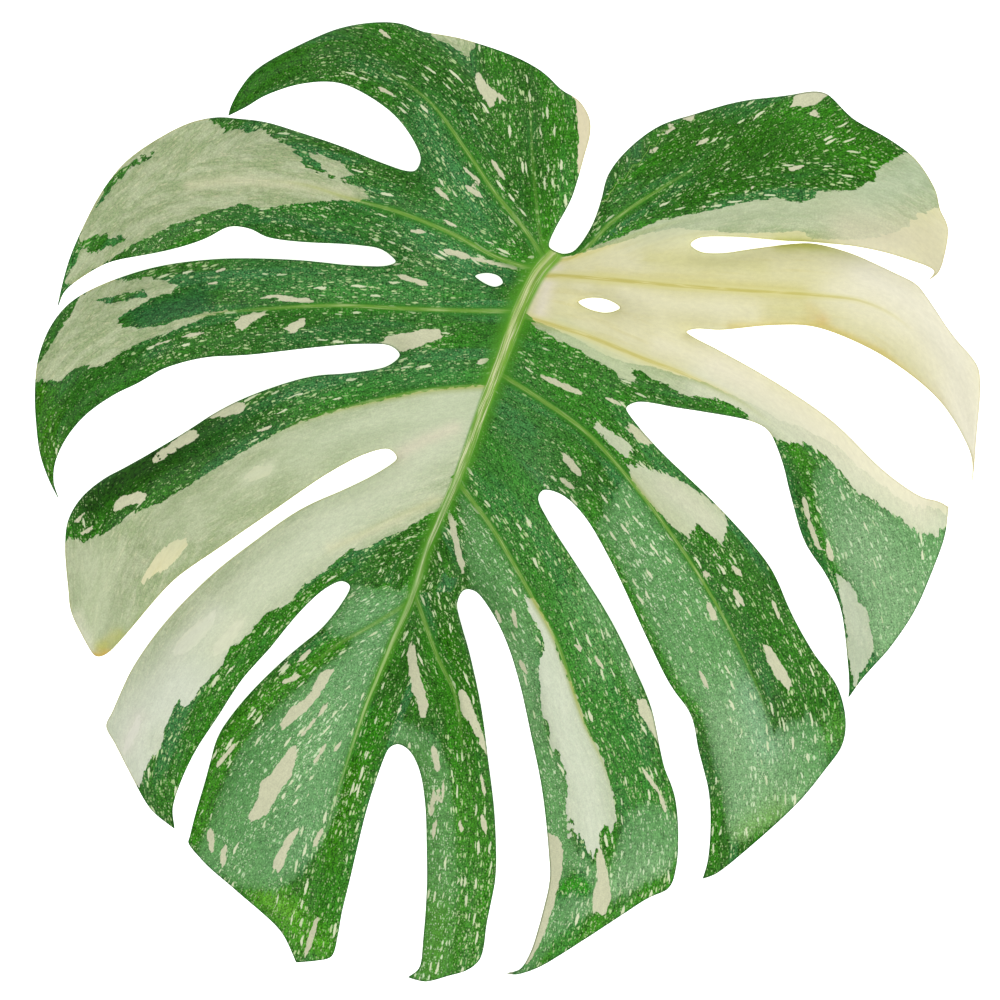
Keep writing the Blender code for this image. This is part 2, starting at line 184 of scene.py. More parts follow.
def thinned(points, tolerance, longest):
    """As few of the points as keep the line within the tolerance, without its last point."""
    kept = [0]
    last = len(points) - 1
    while kept[-1] < last:
        start = kept[-1]
        end = start + 1
        while end < last:
            chord = points[end + 1] - points[start]
            length = np.linalg.norm(chord)
            between = points[start + 1 : end + 1] - points[start]
            off = np.abs(between[:, 0] * chord[1] - between[:, 1] * chord[0]) / length
            if off.max() > tolerance or length > longest:
                break
            end += 1
        kept.append(end)
    return points[kept[:-1]]


def smoothed_loop(loop):
    ahead = np.roll(loop, -1, axis=0) - loop
    heading = np.arctan2(ahead[:, 1], ahead[:, 0])
    turn = (heading - np.roll(heading, 1) + math.pi) % (2 * math.pi) - math.pi
    corners = np.flatnonzero(np.abs(turn) > CORNER_TURN)
    loop = np.roll(loop, -corners[0], axis=0)
    stops = [*(corners - corners[0]), len(loop)]
    loop = np.vstack([loop, loop[:1]])
    runs = [smooth_curve(loop[a : b + 1], steps=20) for a, b in zip(stops, stops[1:])]
    return np.vstack([thinned(run, EDGE_TOLERANCE, EDGE_STEP) for run in runs])


LOOPS = [smoothed_loop(loop) for loop in rim_loops(cad_leaf)]
print("edge loops", len(LOOPS), "with", [len(loop) for loop in LOOPS], "points")

# %% [markdown]
# Two questions come up for every point of the blade: is it inside the leaf, and how far is it
# from the edge. The first counts the crossings of all loops, so a hole counts as outside. The
# second asks a search tree that holds the edge as closely spaced points.

# %% Inside the leaf, and how far from its edge
EDGE_POINT_STEP = 0.25 * MM


def inside_leaf(xy):
    return sum(crossings(loop, xy) for loop in LOOPS) % 2 == 1


def search_tree(xy):
    tree = kdtree.KDTree(len(xy))
    for index, (x, y) in enumerate(xy):
        tree.insert((x, y, 0), index)
    tree.balance()
    return tree


def nearest(tree, xy):
    return np.array([tree.find((x, y, 0))[2] for x, y in xy])


def close_points(loop):
    out = []
    for a, b in zip(loop, np.roll(loop, -1, axis=0)):
        count = max(1, math.ceil(np.linalg.norm(b - a) / EDGE_POINT_STEP))
        out.append(a + (b - a) * np.arange(count)[:, None] / count)
    return np.vstack(out)


edge_points = np.vstack([close_points(loop) for loop in LOOPS])
EDGE_TREE = search_tree(edge_points)
print("search tree with", len(edge_points), "points of the edge")

# %% [markdown]
# Each lobe has one rib or two, and all of them leave the midrib, which runs from the cut stalk
# to the last lobe's tip. The lines are the same as in the model, with how high the rib arches
# over the table and how far the blade beside it bends down, both in metres.

# %% Where the ribs run
MIDRIB = [
    (554, 255), (539, 272), (520, 310), (503, 355), (480, 416), (457, 479), (430, 540),
    (414, 591), (393, 641), (366, 706), (343, 775), (323, 843), (312, 900), (298, 958),
]
SIDE_RIBS = {
    "left lobe 1, upper rib": (
        0.012, 0.0075,
        [(549, 262), (541, 240), (536, 200), (532, 150), (530, 110), (525, 66)],
    ),
    "left lobe 1, lower rib": (
        0.015, 0.0042,
        [(546, 262), (527, 233), (496, 195), (466, 151), (428, 101), (380, 70), (340, 58),
         (300, 65), (265, 82), (236, 106)],
    ),
    "left lobe 2": (
        0.017, 0.0045,
        [(543, 267), (527, 267), (502, 260), (449, 233), (399, 213), (352, 200), (296, 184),
         (232, 183), (179, 190), (140, 205), (105, 235), (70, 280)],
    ),
    "left lobe 3": (
        0.016, 0.0045,
        [(520, 311), (475, 311), (407, 309), (336, 306), (271, 309), (211, 315), (171, 324),
         (116, 352), (84, 375), (60, 407), (48, 439), (50, 475)],
    ),
    "left lobe 4": (
        0.015, 0.0042,
        [(492, 385), (464, 387), (423, 391), (343, 409), (296, 424), (248, 449), (199, 479),
         (158, 505), (138, 532), (118, 572), (105, 610), (97, 646)],
    ),
    "left lobe 5": (
        0.013, 0.0042,
        [(451, 496), (400, 515), (350, 540), (300, 575), (255, 620), (215, 670), (185, 720),
         (165, 770), (170, 822)],
    ),
    "end lobe, left rib": (
        0.008, 0.0036,
        [(410, 602), (374, 624), (333, 648), (300, 677), (250, 740), (220, 790), (196, 836)],
    ),
    "right lobe 1, upper rib": (
        0.014, 0.0042,
        [(552, 263), (576, 257), (592, 243), (611, 223), (669, 184), (739, 143), (773, 118),
         (820, 96)],
    ),
    "right lobe 1, lower rib": (
        0.015, 0.0042,
        [(549, 266), (600, 250), (650, 230), (717, 213), (790, 205), (850, 210), (900, 229),
         (938, 262)],
    ),
    "right lobe 2": (
        0.020, 0.0085,
        [(539, 275), (590, 278), (650, 284), (739, 291), (817, 296), (865, 303), (905, 325),
         (942, 368), (966, 420), (973, 470)],
    ),
    "right lobe 3": (
        0.015, 0.0048,
        [(518, 315), (584, 335), (641, 358), (690, 377), (750, 408), (790, 440), (822, 490),
         (838, 550), (845, 610), (848, 688)],
    ),
    "right lobe 4": (
        0.014, 0.0042,
        [(497, 372), (543, 401), (589, 435), (640, 493), (692, 565), (732, 634), (765, 709),
         (773, 759), (774, 782), (772, 816)],
    ),
    "right lobe 5": (
        0.013, 0.0042,
        [(457, 481), (494, 531), (536, 604), (557, 643), (584, 722), (605, 769), (619, 836),
         (617, 885), (609, 921)],
    ),
    "right lobe 6": (
        0.009, 0.0038,
        [(414, 592), (437, 656), (455, 695), (463, 751), (466, 783), (464, 850), (455, 920),
         (444, 972)],
    ),
}
print("ribs", 1 + len(SIDE_RIBS))

# %% [markdown]
# Almost everything on a leaf depends on where it lies beside a rib. A line answers that for
# many points at once: how far beside the rib and on which side, how far along it, and which way
# the rib heads there. It also gives evenly spaced stations along the rib. A line may be carried
# on straight past its ends.

# %% Measure along a rib
HEADING_SPAN = 5
POINTS_AT_ONCE = 4000


class Line:
    """A rib's centre line: how far along it and how far beside it any point lies."""

    def __init__(self, pixels, before=0.0, after=0.0):
        self.points = to_metres(smooth_curve(pixels))
        if before or after:
            back = self.points[0] - self.points[HEADING_SPAN]
            ahead = self.points[-1] - self.points[-1 - HEADING_SPAN]
            first = self.points[0] + back * before / np.linalg.norm(back)
            last = self.points[-1] + ahead * after / np.linalg.norm(ahead)
            self.points = np.vstack([first, self.points, last])
        steps = np.linalg.norm(np.diff(self.points, axis=0), axis=1)
        self.along = np.concatenate([[0], np.cumsum(steps)]) - before
        self.length = self.along[-1]

    def measure(self, xy):
        """For each point: distance, positive on the line's left, length along, and heading."""
        a, b = self.points[:-1], self.points[1:]
        ab = b - a
        square = (ab**2).sum(axis=1)
        out = []
        for part in np.array_split(xy, len(xy) // POINTS_AT_ONCE + 1):
            rel = part[:, None, :] - a[None]
            t = np.clip((rel * ab).sum(axis=2) / square, 0, 1)
            gap = np.linalg.norm(rel - t[..., None] * ab, axis=2)
            best = gap.argmin(axis=1)
            rows = np.arange(len(part))
            foot = self.along[best] + t[rows, best] * np.diff(self.along)[best]
            rel = rel[rows, best]
            left = ab[best, 0] * rel[:, 1] - ab[best, 1] * rel[:, 0] >= 0
            heading = ab[best] / np.sqrt(square[best])[:, None]
            out.append(np.column_stack([gap[rows, best] * np.where(left, 1, -1), foot, heading]))
        return np.vstack(out)

    def stations(self, start, step):
        """Evenly spaced points from a distance after the start, with normals and shares."""
        count = max(2, round((self.length - start) / step) + 1)
        at = np.linspace(start, self.length, count)
        points = np.column_stack([np.interp(at, self.along, self.points[:, k]) for k in (0, 1)])
        ahead = np.gradient(points, axis=0)
        ahead /= np.linalg.norm(ahead, axis=1)[:, None]
        return points, np.column_stack([-ahead[:, 1], ahead[:, 0]]), at / self.length


MIDRIB_LINE = Line(MIDRIB)
SIDE_LINES = [Line(pixels) for _, _, pixels in SIDE_RIBS.values()]
LINES = [MIDRIB_LINE, *SIDE_LINES]
print("midrib", round(MIDRIB_LINE.length, 3), "m, side ribs", len(SIDE_LINES))

# %% [markdown]
# The grain of the skin flows along the ribs, and so do its flecks. For that each rib's line is
# carried on past both ends. In one lobe the grain leaves the rib and runs down the middle of
# the lobe, and in the end lobe it follows the left rib nearly up to the midrib.

# %% Where the grain of the skin flows
PAST_ROOT, PAST_TIP = 60 * MM, 80 * MM
GRAIN_LEAVES_RIB = {
    "right lobe 3": [
        (518, 315), (584, 335), (641, 358), (690, 377), (750, 408), (800, 455), (838, 520),
        (866, 590), (884, 650), (893, 700),
    ],
}
ON_RIGHT = np.array([name.startswith("right") for name in SIDE_RIBS])
WIDE_GRAIN = 1 + list(SIDE_RIBS).index("end lobe, left rib")
WIDE_GRAIN_SHARE = 0.35
MIDRIB_LEADS_FROM = 0.45

FLOW_LINES = [Line(MIDRIB, PAST_ROOT, PAST_TIP)]
for name, (_, _, pixels) in SIDE_RIBS.items():
    FLOW_LINES.append(Line(GRAIN_LEAVES_RIB.get(name, pixels), PAST_ROOT, PAST_TIP))


def flow_gaps(flow, midrib_share):
    """Distances to the grain's lines, altered so that the least one names the line to follow."""
    gaps = np.abs(flow[..., 0])
    gaps[WIDE_GRAIN] *= np.where(flow[WIDE_GRAIN, :, 0] > 0, WIDE_GRAIN_SHARE, 1.0)
    gaps[0] += FAR * (midrib_share < MIDRIB_LEADS_FROM)
    gaps[1:] += FAR * (ON_RIGHT[:, None] != (flow[0, :, 0] > 0))
    return gaps


print("grain lines", len(FLOW_LINES))

# %% [markdown]
# For every point of the plan the lesson needs to know where it lies beside every rib, how far
# it is from the edge, and which line its grain follows. This survey is made once for the blade
# and again, with fewer points, for whatever grows beneath it.

# %% Survey the plan
def survey(xy):
    """Where each point lies beside every rib, and which rib its veins flow along."""
    found = np.stack([line.measure(xy) for line in LINES])
    lengths = np.array([line.length for line in LINES])
    share = found[..., 1] / lengths[:, None]
    flow = np.stack([line.measure(xy) for line in FLOW_LINES])
    return {
        "beside": found[..., 0],
        "share": share,
        "edge": nearest(EDGE_TREE, xy),
        "flow": flow,
        "flow_gaps": flow_gaps(flow, share[0]),
    }


# %% [markdown]
# The blade's height is a formula, the same as the model's, so the fine blade lies exactly where
# the model does. Each rib has a height along its length, and a point of the blade takes the
# heights of the ribs near it. Then the blade sinks into a crease over each rib, bulges beside
# it and bends down at the edge.

# %% The height of the blade
BLADE_THICKNESS = 0.7 * MM
MIDRIB_DEPTH, MIDRIB_HALF_WIDTH = 4.6 * MM, 3.4 * MM
RIB_END_SIZE = 0.25
STALK_RISE, STALK_RISE_SHARE = 6 * MM, 0.24
END_RISE, END_RISE_FROM = 5 * MM, 0.50
ARCH_SKEW, ARCH_GAIN = 0.8, 0.25
RIB_BLEND, LEAST_GAP = 2 * MM, 1e-6
CREASE_DEPTH, CREASE_HALF_WIDTH = 0.7 * MM, 4.5 * MM
BULGE_HEIGHT, BULGE_REACH = 2.0 * MM, 14 * MM
MIDRIB_SIDE_DROOP = 3.6 * MM
DROOPS = np.array([MIDRIB_SIDE_DROOP, *(droop for _, droop, _ in SIDE_RIBS.values())])
EDGE_WAVE, EDGE_WAVE_LENGTH, EDGE_WAVE_HEADING = 0.7 * MM, 34 * MM, (0.8, 0.6)


def taper(share):
    """A rib's size along its length, from 1 at the root to its end size."""
    return 1 - (1 - RIB_END_SIZE) * share


def midrib_top(share):
    raised = STALK_RISE * np.clip(1 - share / STALK_RISE_SHARE, 0, 1) ** 2
    late = np.clip((share - END_RISE_FROM) / (1 - END_RISE_FROM), 0, 1)
    bottom = raised + END_RISE * np.sin(math.pi * late) ** 2
    return bottom + MIDRIB_DEPTH * taper(share) + BLADE_THICKNESS


def rib_heights(shares):
    """Each rib's height at the place along it that is nearest to each point."""
    heights = [midrib_top(shares[0])]
    for line, share, (arch, _, _) in zip(SIDE_LINES, shares[1:], SIDE_RIBS.values()):
        root = midrib_top(MIDRIB_LINE.measure(line.points[:1])[0, 1] / MIDRIB_LINE.length)
        rise = arch * np.sin(math.pi * share**ARCH_SKEW) * (1 + ARCH_GAIN * share)
        heights.append(root * (1 - share) ** 2 + BLADE_THICKNESS * share + rise)
    return np.stack(heights)


def base_height(xy, seen):
    gaps, shares = np.abs(seen["beside"]), seen["share"]
    weight = 1 / (gaps + RIB_BLEND) ** 3
    weight /= weight.sum(axis=0)
    base = (weight * rib_heights(shares)).sum(axis=0)
    share = (weight * shares).sum(axis=0)
    gap = ((gaps + LEAST_GAP) ** -4.0).sum(axis=0) ** -0.25
    across = gap / (gap + seen["edge"])
    spread = np.clip(gap / BULGE_REACH, 0, 1)
    bulge = BULGE_HEIGHT * np.sin(math.pi * across) * spread
    bend = (DROOPS @ weight) * across**2 * spread * (1 - share**2)
    phase = 2 * math.pi * (xy @ EDGE_WAVE_HEADING) / EDGE_WAVE_LENGTH
    wave = EDGE_WAVE * across**2 * np.sin(phase) * spread
    return base + bulge - bend + wave - CREASE_DEPTH * bell(gap, CREASE_HALF_WIDTH)


print("midrib top at its stalk end", round(midrib_top(0.0) / MM, 1), "mm over the table")

# %% [markdown]
# On top of that form the real skin has a finer relief: each side rib shows as a thin raised
# line in a narrow valley, the midrib as two low ridges with a groove between them, finer veins
# leave the ribs and pillow the skin between them, and the whole skin is a little uneven.
# The finer veins follow one rule, which the veins beneath use again further on.

# %% The fine relief of the upper skin
VEIN_SPACING = 8.5 * MM
VEIN_LEAN, VEIN_BEND = 0.55, 16.0
PILLOW_HEIGHT, PILLOW_FADE = 0.16 * MM, 5 * MM
SIDE_LINE_HEIGHT, SIDE_LINE_WIDTH, SIDE_LINE_LEAST = 0.26 * MM, 0.55 * MM, 0.1 * MM
SIDE_LINE_FADE = 0.1
SIDE_VALLEY_DEPTH, SIDE_VALLEY_WIDTH = 0.30 * MM, 1.6 * MM
MIDRIB_RIDGE = 0.24 * MM
MIDRIB_RIDGES = ((1.0, 0.5, 0.26), (-0.7, 0.0, 0.2), (-0.6, 1.15, 0.3))
UNEVEN = ((21 * MM, 0.42 * MM), (7.5 * MM, 0.11 * MM))
UNEVEN_FADE, UNEVEN_LEAST = 8 * MM, 0.25
EDGE_ROLL, EDGE_ROLL_WIDTH = 0.30 * MM, 0.9 * MM


def vein_phase(along, beside):
    """Counts the fine veins along a rib: whole numbers are the veins themselves."""
    beside = np.abs(beside)
    return (along - VEIN_LEAN * beside - VEIN_BEND * beside**2) / VEIN_SPACING


def unevenness(xy):
    """Low bumps of two sizes over the whole skin."""
    out = np.zeros(len(xy))
    for size, height in UNEVEN:
        out += [height * noise.noise(Vector((x / size, y / size, 0.5))) for x, y in xy]
    return out


def fade(distance, reach, least=0):
    """From the least value at no distance to 1 at the reach and beyond."""
    return np.clip(distance / reach, least, 1)


def pillows(gaps, seen):
    """The skin stands up between the fine veins, and less near ribs, edges and other grain."""
    mine = seen["flow_gaps"].argmin(axis=0)
    order = np.partition(seen["flow_gaps"], 1, axis=0)
    clear = fade(order[1] - order[0], PILLOW_FADE)
    clear *= fade(gaps.min(axis=0), PILLOW_FADE) * fade(seen["edge"], PILLOW_FADE)
    phase = vein_phase(seen["flow"][mine, np.arange(len(mine)), 1], order[0])
    return PILLOW_HEIGHT * (2 * np.abs(np.sin(math.pi * phase)) - 1) * clear


def fine_relief(xy, seen):
    gaps = np.abs(seen["beside"])
    relief = pillows(gaps, seen)
    relief += unevenness(xy) * fade(gaps.min(axis=0), UNEVEN_FADE, UNEVEN_LEAST)
    for gap, share in zip(gaps[1:], seen["share"][1:]):
        size = taper(share) * fade(1 - share, SIDE_LINE_FADE)
        line = SIDE_LINE_HEIGHT * bell(gap, SIDE_LINE_WIDTH * size + SIDE_LINE_LEAST)
        relief += (line - SIDE_VALLEY_DEPTH * bell(gap, SIDE_VALLEY_WIDTH)) * size
    size = taper(seen["share"][0])
    across = gaps[0] / (MIDRIB_HALF_WIDTH * size)
    for height, at, width in MIDRIB_RIDGES:
        relief += MIDRIB_RIDGE * height * bell(across - at, width) * size
    return relief - EDGE_ROLL * bell(seen["edge"], EDGE_ROLL_WIDTH)


print("fine veins every", VEIN_SPACING / MM, "mm along the ribs")

# %% [markdown]
# The pale patches are what makes this plant. On the real leaf they are sectors of cells without
# green, so they end in ragged teeth that run along the veins. Each patch is drawn as a
# closed outline in pixels; past the leaf's edge it may run on, since there is nothing to paint.
# Sage, the first kind, is the frosted grey-green where one cell layer is still green.

# %% Draw the sage patches
SAGE_PATCHES = {
    "band below the cream block": [
        (534, 326), (553, 338), (578, 350), (599, 363), (612, 369), (621, 379), (634, 383),
        (642, 383), (631, 373), (627, 368), (639, 370), (654, 381), (667, 384), (677, 392),
        (689, 397), (700, 396), (716, 400), (732, 405), (745, 413), (752, 430), (774, 438),
        (788, 445), (809, 444), (826, 457), (840, 471), (855, 490), (874, 501), (893, 513),
        (905, 522), (918, 533), (939, 534), (946, 524), (965, 520), (900, 470), (700, 330),
        (560, 290), (536, 300),
    ],
    "right lobe 1": [
        (585, 249), (606, 243), (622, 237), (650, 224), (684, 216), (717, 210), (744, 203),
        (775, 198), (795, 203), (809, 201), (817, 192), (851, 191), (869, 182), (884, 165),
        (905, 153), (960, 140), (1000, 200), (950, 232), (900, 248), (750, 250), (650, 250),
        (590, 262),
    ],
    "left lobe 1, top": [
        (431, 30), (431, 37), (451, 46), (469, 59), (471, 50), (477, 46), (470, 36),
    ],
    "left lobe 2": [
        (205, 100), (205, 119), (214, 122), (226, 130), (252, 131), (264, 131), (272, 138),
        (280, 142), (292, 148), (298, 156), (304, 168), (318, 173), (336, 181), (353, 186),
        (366, 192), (372, 200), (359, 202), (336, 201), (320, 203), (296, 205), (276, 208),
        (261, 209), (253, 206), (243, 204), (219, 210), (195, 218), (171, 226), (148, 237),
        (132, 245), (116, 256), (100, 265), (88, 272), (76, 281), (67, 286), (66, 277), (74, 263),
        (80, 248), (77, 238), (86, 220), (70, 215), (100, 160), (150, 110),
    ],
    "left lobe 2, inner": [
        (309, 152), (318, 154), (330, 160), (340, 161), (346, 168), (353, 176), (344, 179),
        (333, 177), (325, 173), (322, 166), (314, 160),
    ],
    "left lobe 3": [
        (95, 284), (116, 278), (124, 282), (138, 278), (155, 278), (168, 282), (175, 286),
        (173, 293), (155, 297), (143, 303), (141, 307), (128, 312), (116, 320), (122, 326),
        (141, 328), (160, 326), (187, 318), (211, 312), (235, 310), (208, 316), (195, 323),
        (171, 332), (148, 340), (132, 347), (116, 356), (103, 366), (90, 367), (73, 369), (57, 382),
        (37, 382), (30, 370), (41, 360), (52, 344), (60, 329), (73, 312), (80, 295),
    ],
    "left lobe 4": [
        (494, 384), (464, 387), (423, 391), (343, 409), (296, 424), (248, 449), (199, 479),
        (158, 505), (144, 508), (128, 515), (112, 530), (96, 534), (81, 543), (73, 537), (60, 543),
        (50, 600), (70, 680), (130, 660), (280, 530), (365, 480), (400, 470), (400, 440),
        (475, 430), (480, 410),
    ],
    "left lobe 5": [
        (484, 405), (400, 430), (340, 470), (280, 515), (200, 580), (130, 650), (90, 720),
        (100, 760), (139, 791), (141, 780), (149, 761), (161, 748), (164, 731), (176, 703),
        (181, 699), (184, 708), (191, 703), (204, 684), (223, 664), (231, 646), (242, 641),
        (253, 629), (266, 613), (275, 609), (290, 602), (304, 585), (322, 573), (336, 560),
        (349, 550), (365, 549), (385, 537), (401, 532), (417, 522), (436, 509), (446, 497),
        (462, 460),
    ],
    "right lobe 5": [
        (524, 595), (532, 616), (541, 633), (544, 649), (539, 659), (540, 681), (541, 713),
        (549, 723), (550, 746), (559, 753), (567, 775), (567, 790), (566, 808), (567, 836),
        (570, 838), (572, 812), (575, 828), (584, 843), (593, 857), (599, 849), (600, 827),
        (611, 832), (617, 821), (613, 794), (609, 778), (599, 748), (588, 733), (575, 692),
        (559, 656), (548, 624), (535, 600),
    ],
    "right lobe 4, main": [
        (626, 464), (646, 466), (667, 476), (684, 483), (709, 499), (723, 512), (728, 523),
        (723, 544), (707, 533), (694, 525), (691, 537), (679, 533), (656, 510), (636, 487),
    ],
    "right lobe 4, upper": [(589, 424), (598, 423), (617, 435), (635, 449), (625, 458), (608, 443)],
    "right lobe 3, lower": [
        (834, 570), (847, 580), (855, 591), (859, 603), (866, 607), (872, 639), (874, 649),
        (866, 668), (855, 687), (849, 660), (847, 630),
    ],
}
print("sage patches", len(SAGE_PATCHES))

# %% [markdown]
# In cream no cell layer has any green left. One whole lobe and the edges of its neighbours are
# cream, and there are small spots of it inside the sage.

# %% Draw the cream patches
CREAM_PATCHES = {
    "cream block": [
        (556, 258), (575, 255), (600, 248), (625, 241), (650, 233), (672, 229), (695, 230),
        (739, 234), (775, 233), (802, 231), (811, 239), (845, 240), (873, 239), (890, 233),
        (907, 227), (918, 214), (940, 208), (1010, 190), (1010, 512), (948, 512), (920, 508),
        (901, 500), (875, 480), (857, 466), (839, 448), (820, 437), (802, 428), (779, 420),
        (750, 403), (725, 393), (705, 383), (686, 378), (656, 368), (627, 363), (606, 356),
        (589, 346), (564, 333), (546, 325), (533, 320), (524, 312), (532, 286), (545, 266),
    ],
    "left lobe 4, streak": [
        (139, 585), (145, 573), (151, 565), (157, 556), (164, 547), (174, 541), (186, 538),
        (190, 541), (186, 548), (178, 558), (169, 567), (160, 572), (151, 577), (143, 586),
    ],
    "left lobe 4, spot": [
        (244, 477), (254, 467), (264, 464), (272, 465), (270, 474), (257, 480), (248, 482),
    ],
    "left lobe 5, first spot": [
        (171, 653), (180, 639), (190, 629), (200, 621), (211, 612), (217, 610), (215, 621),
        (204, 638), (192, 650), (180, 656),
    ],
    "left lobe 5, second spot": [
        (213, 656), (217, 642), (228, 630), (239, 619), (245, 620), (238, 635), (229, 646),
        (220, 656),
    ],
    "left lobe 5, third spot": [
        (123, 752), (126, 738), (132, 725), (139, 714), (142, 717), (138, 733), (131, 748),
    ],
    "left lobe 1, margin": [
        (570, 92), (576, 100), (577, 118), (579, 140), (577, 160), (580, 182), (590, 180),
        (600, 130), (590, 100),
    ],
}
print("cream patches", len(CREAM_PATCHES))

# %% [markdown]
# Marks are small patches of a duller beige that lie alone in the green. A few islands inside
# the patches stayed green.

# %% Draw the pale marks and the green islands
PALE_MARKS = {
    "right lobe 1, top corner": [
        (792, 106), (794, 96), (807, 88), (829, 86), (829, 94), (818, 103), (807, 106),
    ],
    "left lobe 1, spot": [
        (475, 70), (480, 72), (483, 80), (492, 88), (496, 92), (494, 100), (497, 110), (490, 108),
        (484, 98), (479, 92), (475, 82),
    ],
    "left lobe 3, by the third cut": [
        (379, 343), (391, 336), (423, 330), (444, 330), (441, 338), (423, 346), (401, 352),
    ],
    "left lobe 3, left": [
        (233, 328), (240, 318), (255, 313), (268, 312), (262, 318), (250, 325), (243, 331),
    ],
    "left lobe 3, right": [
        (285, 331), (290, 325), (300, 320), (308, 318), (305, 326), (297, 332), (288, 334),
    ],
    "left lobe 4, first": [
        (207, 419), (216, 412), (228, 406), (236, 401), (243, 403), (247, 409), (240, 414),
        (228, 416), (218, 418),
    ],
    "left lobe 4, second": [
        (149, 463), (158, 453), (170, 444), (182, 434), (190, 430), (199, 431), (197, 439),
        (188, 444), (176, 451), (164, 459), (153, 465),
    ],
    "left lobe 4, third": [
        (112, 508), (118, 498), (140, 491), (151, 496), (140, 504), (125, 506), (115, 513),
    ],
    "end lobe, first": [
        (325, 670), (335, 667), (330, 678), (324, 688), (319, 696), (309, 709), (295, 720),
        (286, 727), (281, 730), (279, 725), (285, 716), (291, 707), (303, 700), (311, 693),
        (314, 683), (319, 674),
    ],
    "end lobe, second": [
        (301, 744), (294, 765), (292, 776), (283, 787), (275, 800), (267, 815), (251, 823),
        (249, 815), (257, 800), (261, 780), (270, 775), (280, 761), (290, 748),
    ],
    "end lobe, third": [
        (301, 824), (294, 840), (288, 851), (282, 870), (275, 876), (273, 860), (280, 850),
        (288, 835),
    ],
    "right lobe 6, left": [
        (410, 642), (415, 643), (417, 660), (419, 672), (425, 690), (428, 705), (425, 719),
        (420, 718), (417, 700), (412, 690), (409, 670), (406, 658),
    ],
    "right lobe 6, right": [
        (458, 691), (466, 689), (470, 700), (478, 720), (484, 738), (489, 759), (480, 746),
        (472, 726), (461, 712),
    ],
    "right lobe 5, margin": [
        (636, 697), (646, 699), (653, 715), (659, 735), (661, 750), (655, 738), (647, 725),
        (639, 712),
    ],
    "right lobe 4, lower": [
        (762, 645), (768, 644), (775, 654), (784, 668), (790, 679), (793, 688), (787, 690),
        (777, 678), (767, 661),
    ],
    "right lobe 4, by the cut": [
        (624, 421), (632, 423), (643, 432), (653, 443), (648, 447), (638, 441), (629, 433),
    ],
    "right lobe 4, by its rib": [(705, 599), (712, 604), (719, 620), (710, 621)],
    "right lobe 4, left": [(561, 451), (570, 457), (579, 468), (581, 476), (572, 471), (564, 461)],
    "right lobe 5, tail": [
        (598, 842), (604, 856), (608, 872), (612, 898), (605, 916), (594, 913), (592, 896),
        (598, 880), (596, 862),
    ],
    "right lobe 5, left margin": [
        (547, 833), (558, 837), (563, 850), (562, 872), (554, 905), (546, 930), (532, 960),
        (516, 972), (498, 985), (510, 945), (530, 900), (535, 860),
    ],
}
GREEN_ISLANDS = {
    "left lobe 3, sliver": [
        (92, 301), (106, 296), (122, 294), (136, 291), (152, 292), (146, 297), (132, 299),
        (116, 303), (104, 303),
    ],
    "left lobe 2, tip": [
        (84, 240), (98, 234), (114, 238), (128, 233), (123, 243), (106, 246), (94, 253), (85, 250),
    ],
    "left lobe 2, margin": [
        (98, 206), (103, 190), (112, 177), (122, 168), (134, 160), (146, 154), (159, 149),
        (156, 156), (144, 162), (131, 170), (118, 181), (108, 194),
    ],
    "right lobe 5, blot": [
        (556, 898), (556, 886), (566, 880), (571, 871), (583, 870), (586, 879), (592, 886),
        (590, 898), (574, 897),
    ],
}
print("marks", len(PALE_MARKS), "islands", len(GREEN_ISLANDS))

# %% [markdown]
# Silver sectors are green with a pale veil over it. The veil is partly the skin's own paler cells
# and partly painted sheen, where lobes lean towards the light. They are wide, soft and reach from
# a rib to the edge. The depth of a point in any kind of patch is its distance from the outline,
# which the paint compares with its ragged teeth later on.

# %% Draw the silver sectors of painted sheen, and measure how deep a point lies
SILVER_SHEEN_SECTORS = {
    "end lobe": [
        (352, 586), (416, 590), (404, 616), (394, 641), (381, 670), (367, 705), (358, 730),
        (350, 750), (343, 780), (335, 815), (318, 850), (304, 868), (290, 884), (272, 893),
        (238, 888), (195, 862), (200, 843), (212, 815), (222, 790), (232, 765), (243, 745),
        (262, 722), (283, 702), (302, 685), (322, 668), (348, 647), (352, 638), (330, 633),
        (318, 626), (335, 606),
    ],
    "right lobe 5, top right": [
        (572, 560), (600, 590), (640, 680), (634, 700), (610, 650), (585, 610),
    ],
    "right lobe 6": [
        (388, 742), (398, 722), (420, 728), (440, 742), (449, 770), (453, 800), (456, 840),
        (457, 880), (455, 920), (450, 960), (445, 990), (410, 990), (420, 900), (420, 820),
        (415, 780), (408, 755),
    ],
    "right lobe 5, left": [
        (459, 490), (476, 505), (494, 531), (515, 566), (533, 600), (538, 640), (541, 680),
        (543, 715), (551, 745), (562, 760), (570, 790), (570, 830), (578, 850), (592, 862),
        (608, 872), (618, 838), (628, 812), (645, 800), (665, 806), (690, 830), (672, 872),
        (640, 888), (600, 906), (560, 935), (520, 985), (500, 985), (530, 930), (538, 900),
        (535, 850), (533, 800), (528, 740), (510, 680), (490, 610), (470, 585), (462, 540),
    ],
    "right lobe 4": [
        (596, 530), (606, 506), (622, 478), (641, 495), (666, 530), (692, 566), (713, 601),
        (732, 635), (750, 673), (765, 706), (774, 733), (788, 724), (808, 714), (824, 732),
        (830, 775), (812, 800), (775, 824), (750, 838), (736, 846), (727, 832), (724, 803),
        (720, 776), (712, 752), (706, 727), (698, 706), (682, 688), (666, 660), (652, 634),
        (636, 598), (616, 560), (603, 540),
    ],
    "right lobe 3": [
        (830, 455), (850, 485), (890, 510), (960, 530), (960, 570), (925, 620), (880, 665),
        (868, 640), (857, 598), (841, 574), (829, 553), (823, 530), (815, 500), (812, 475),
    ],
}


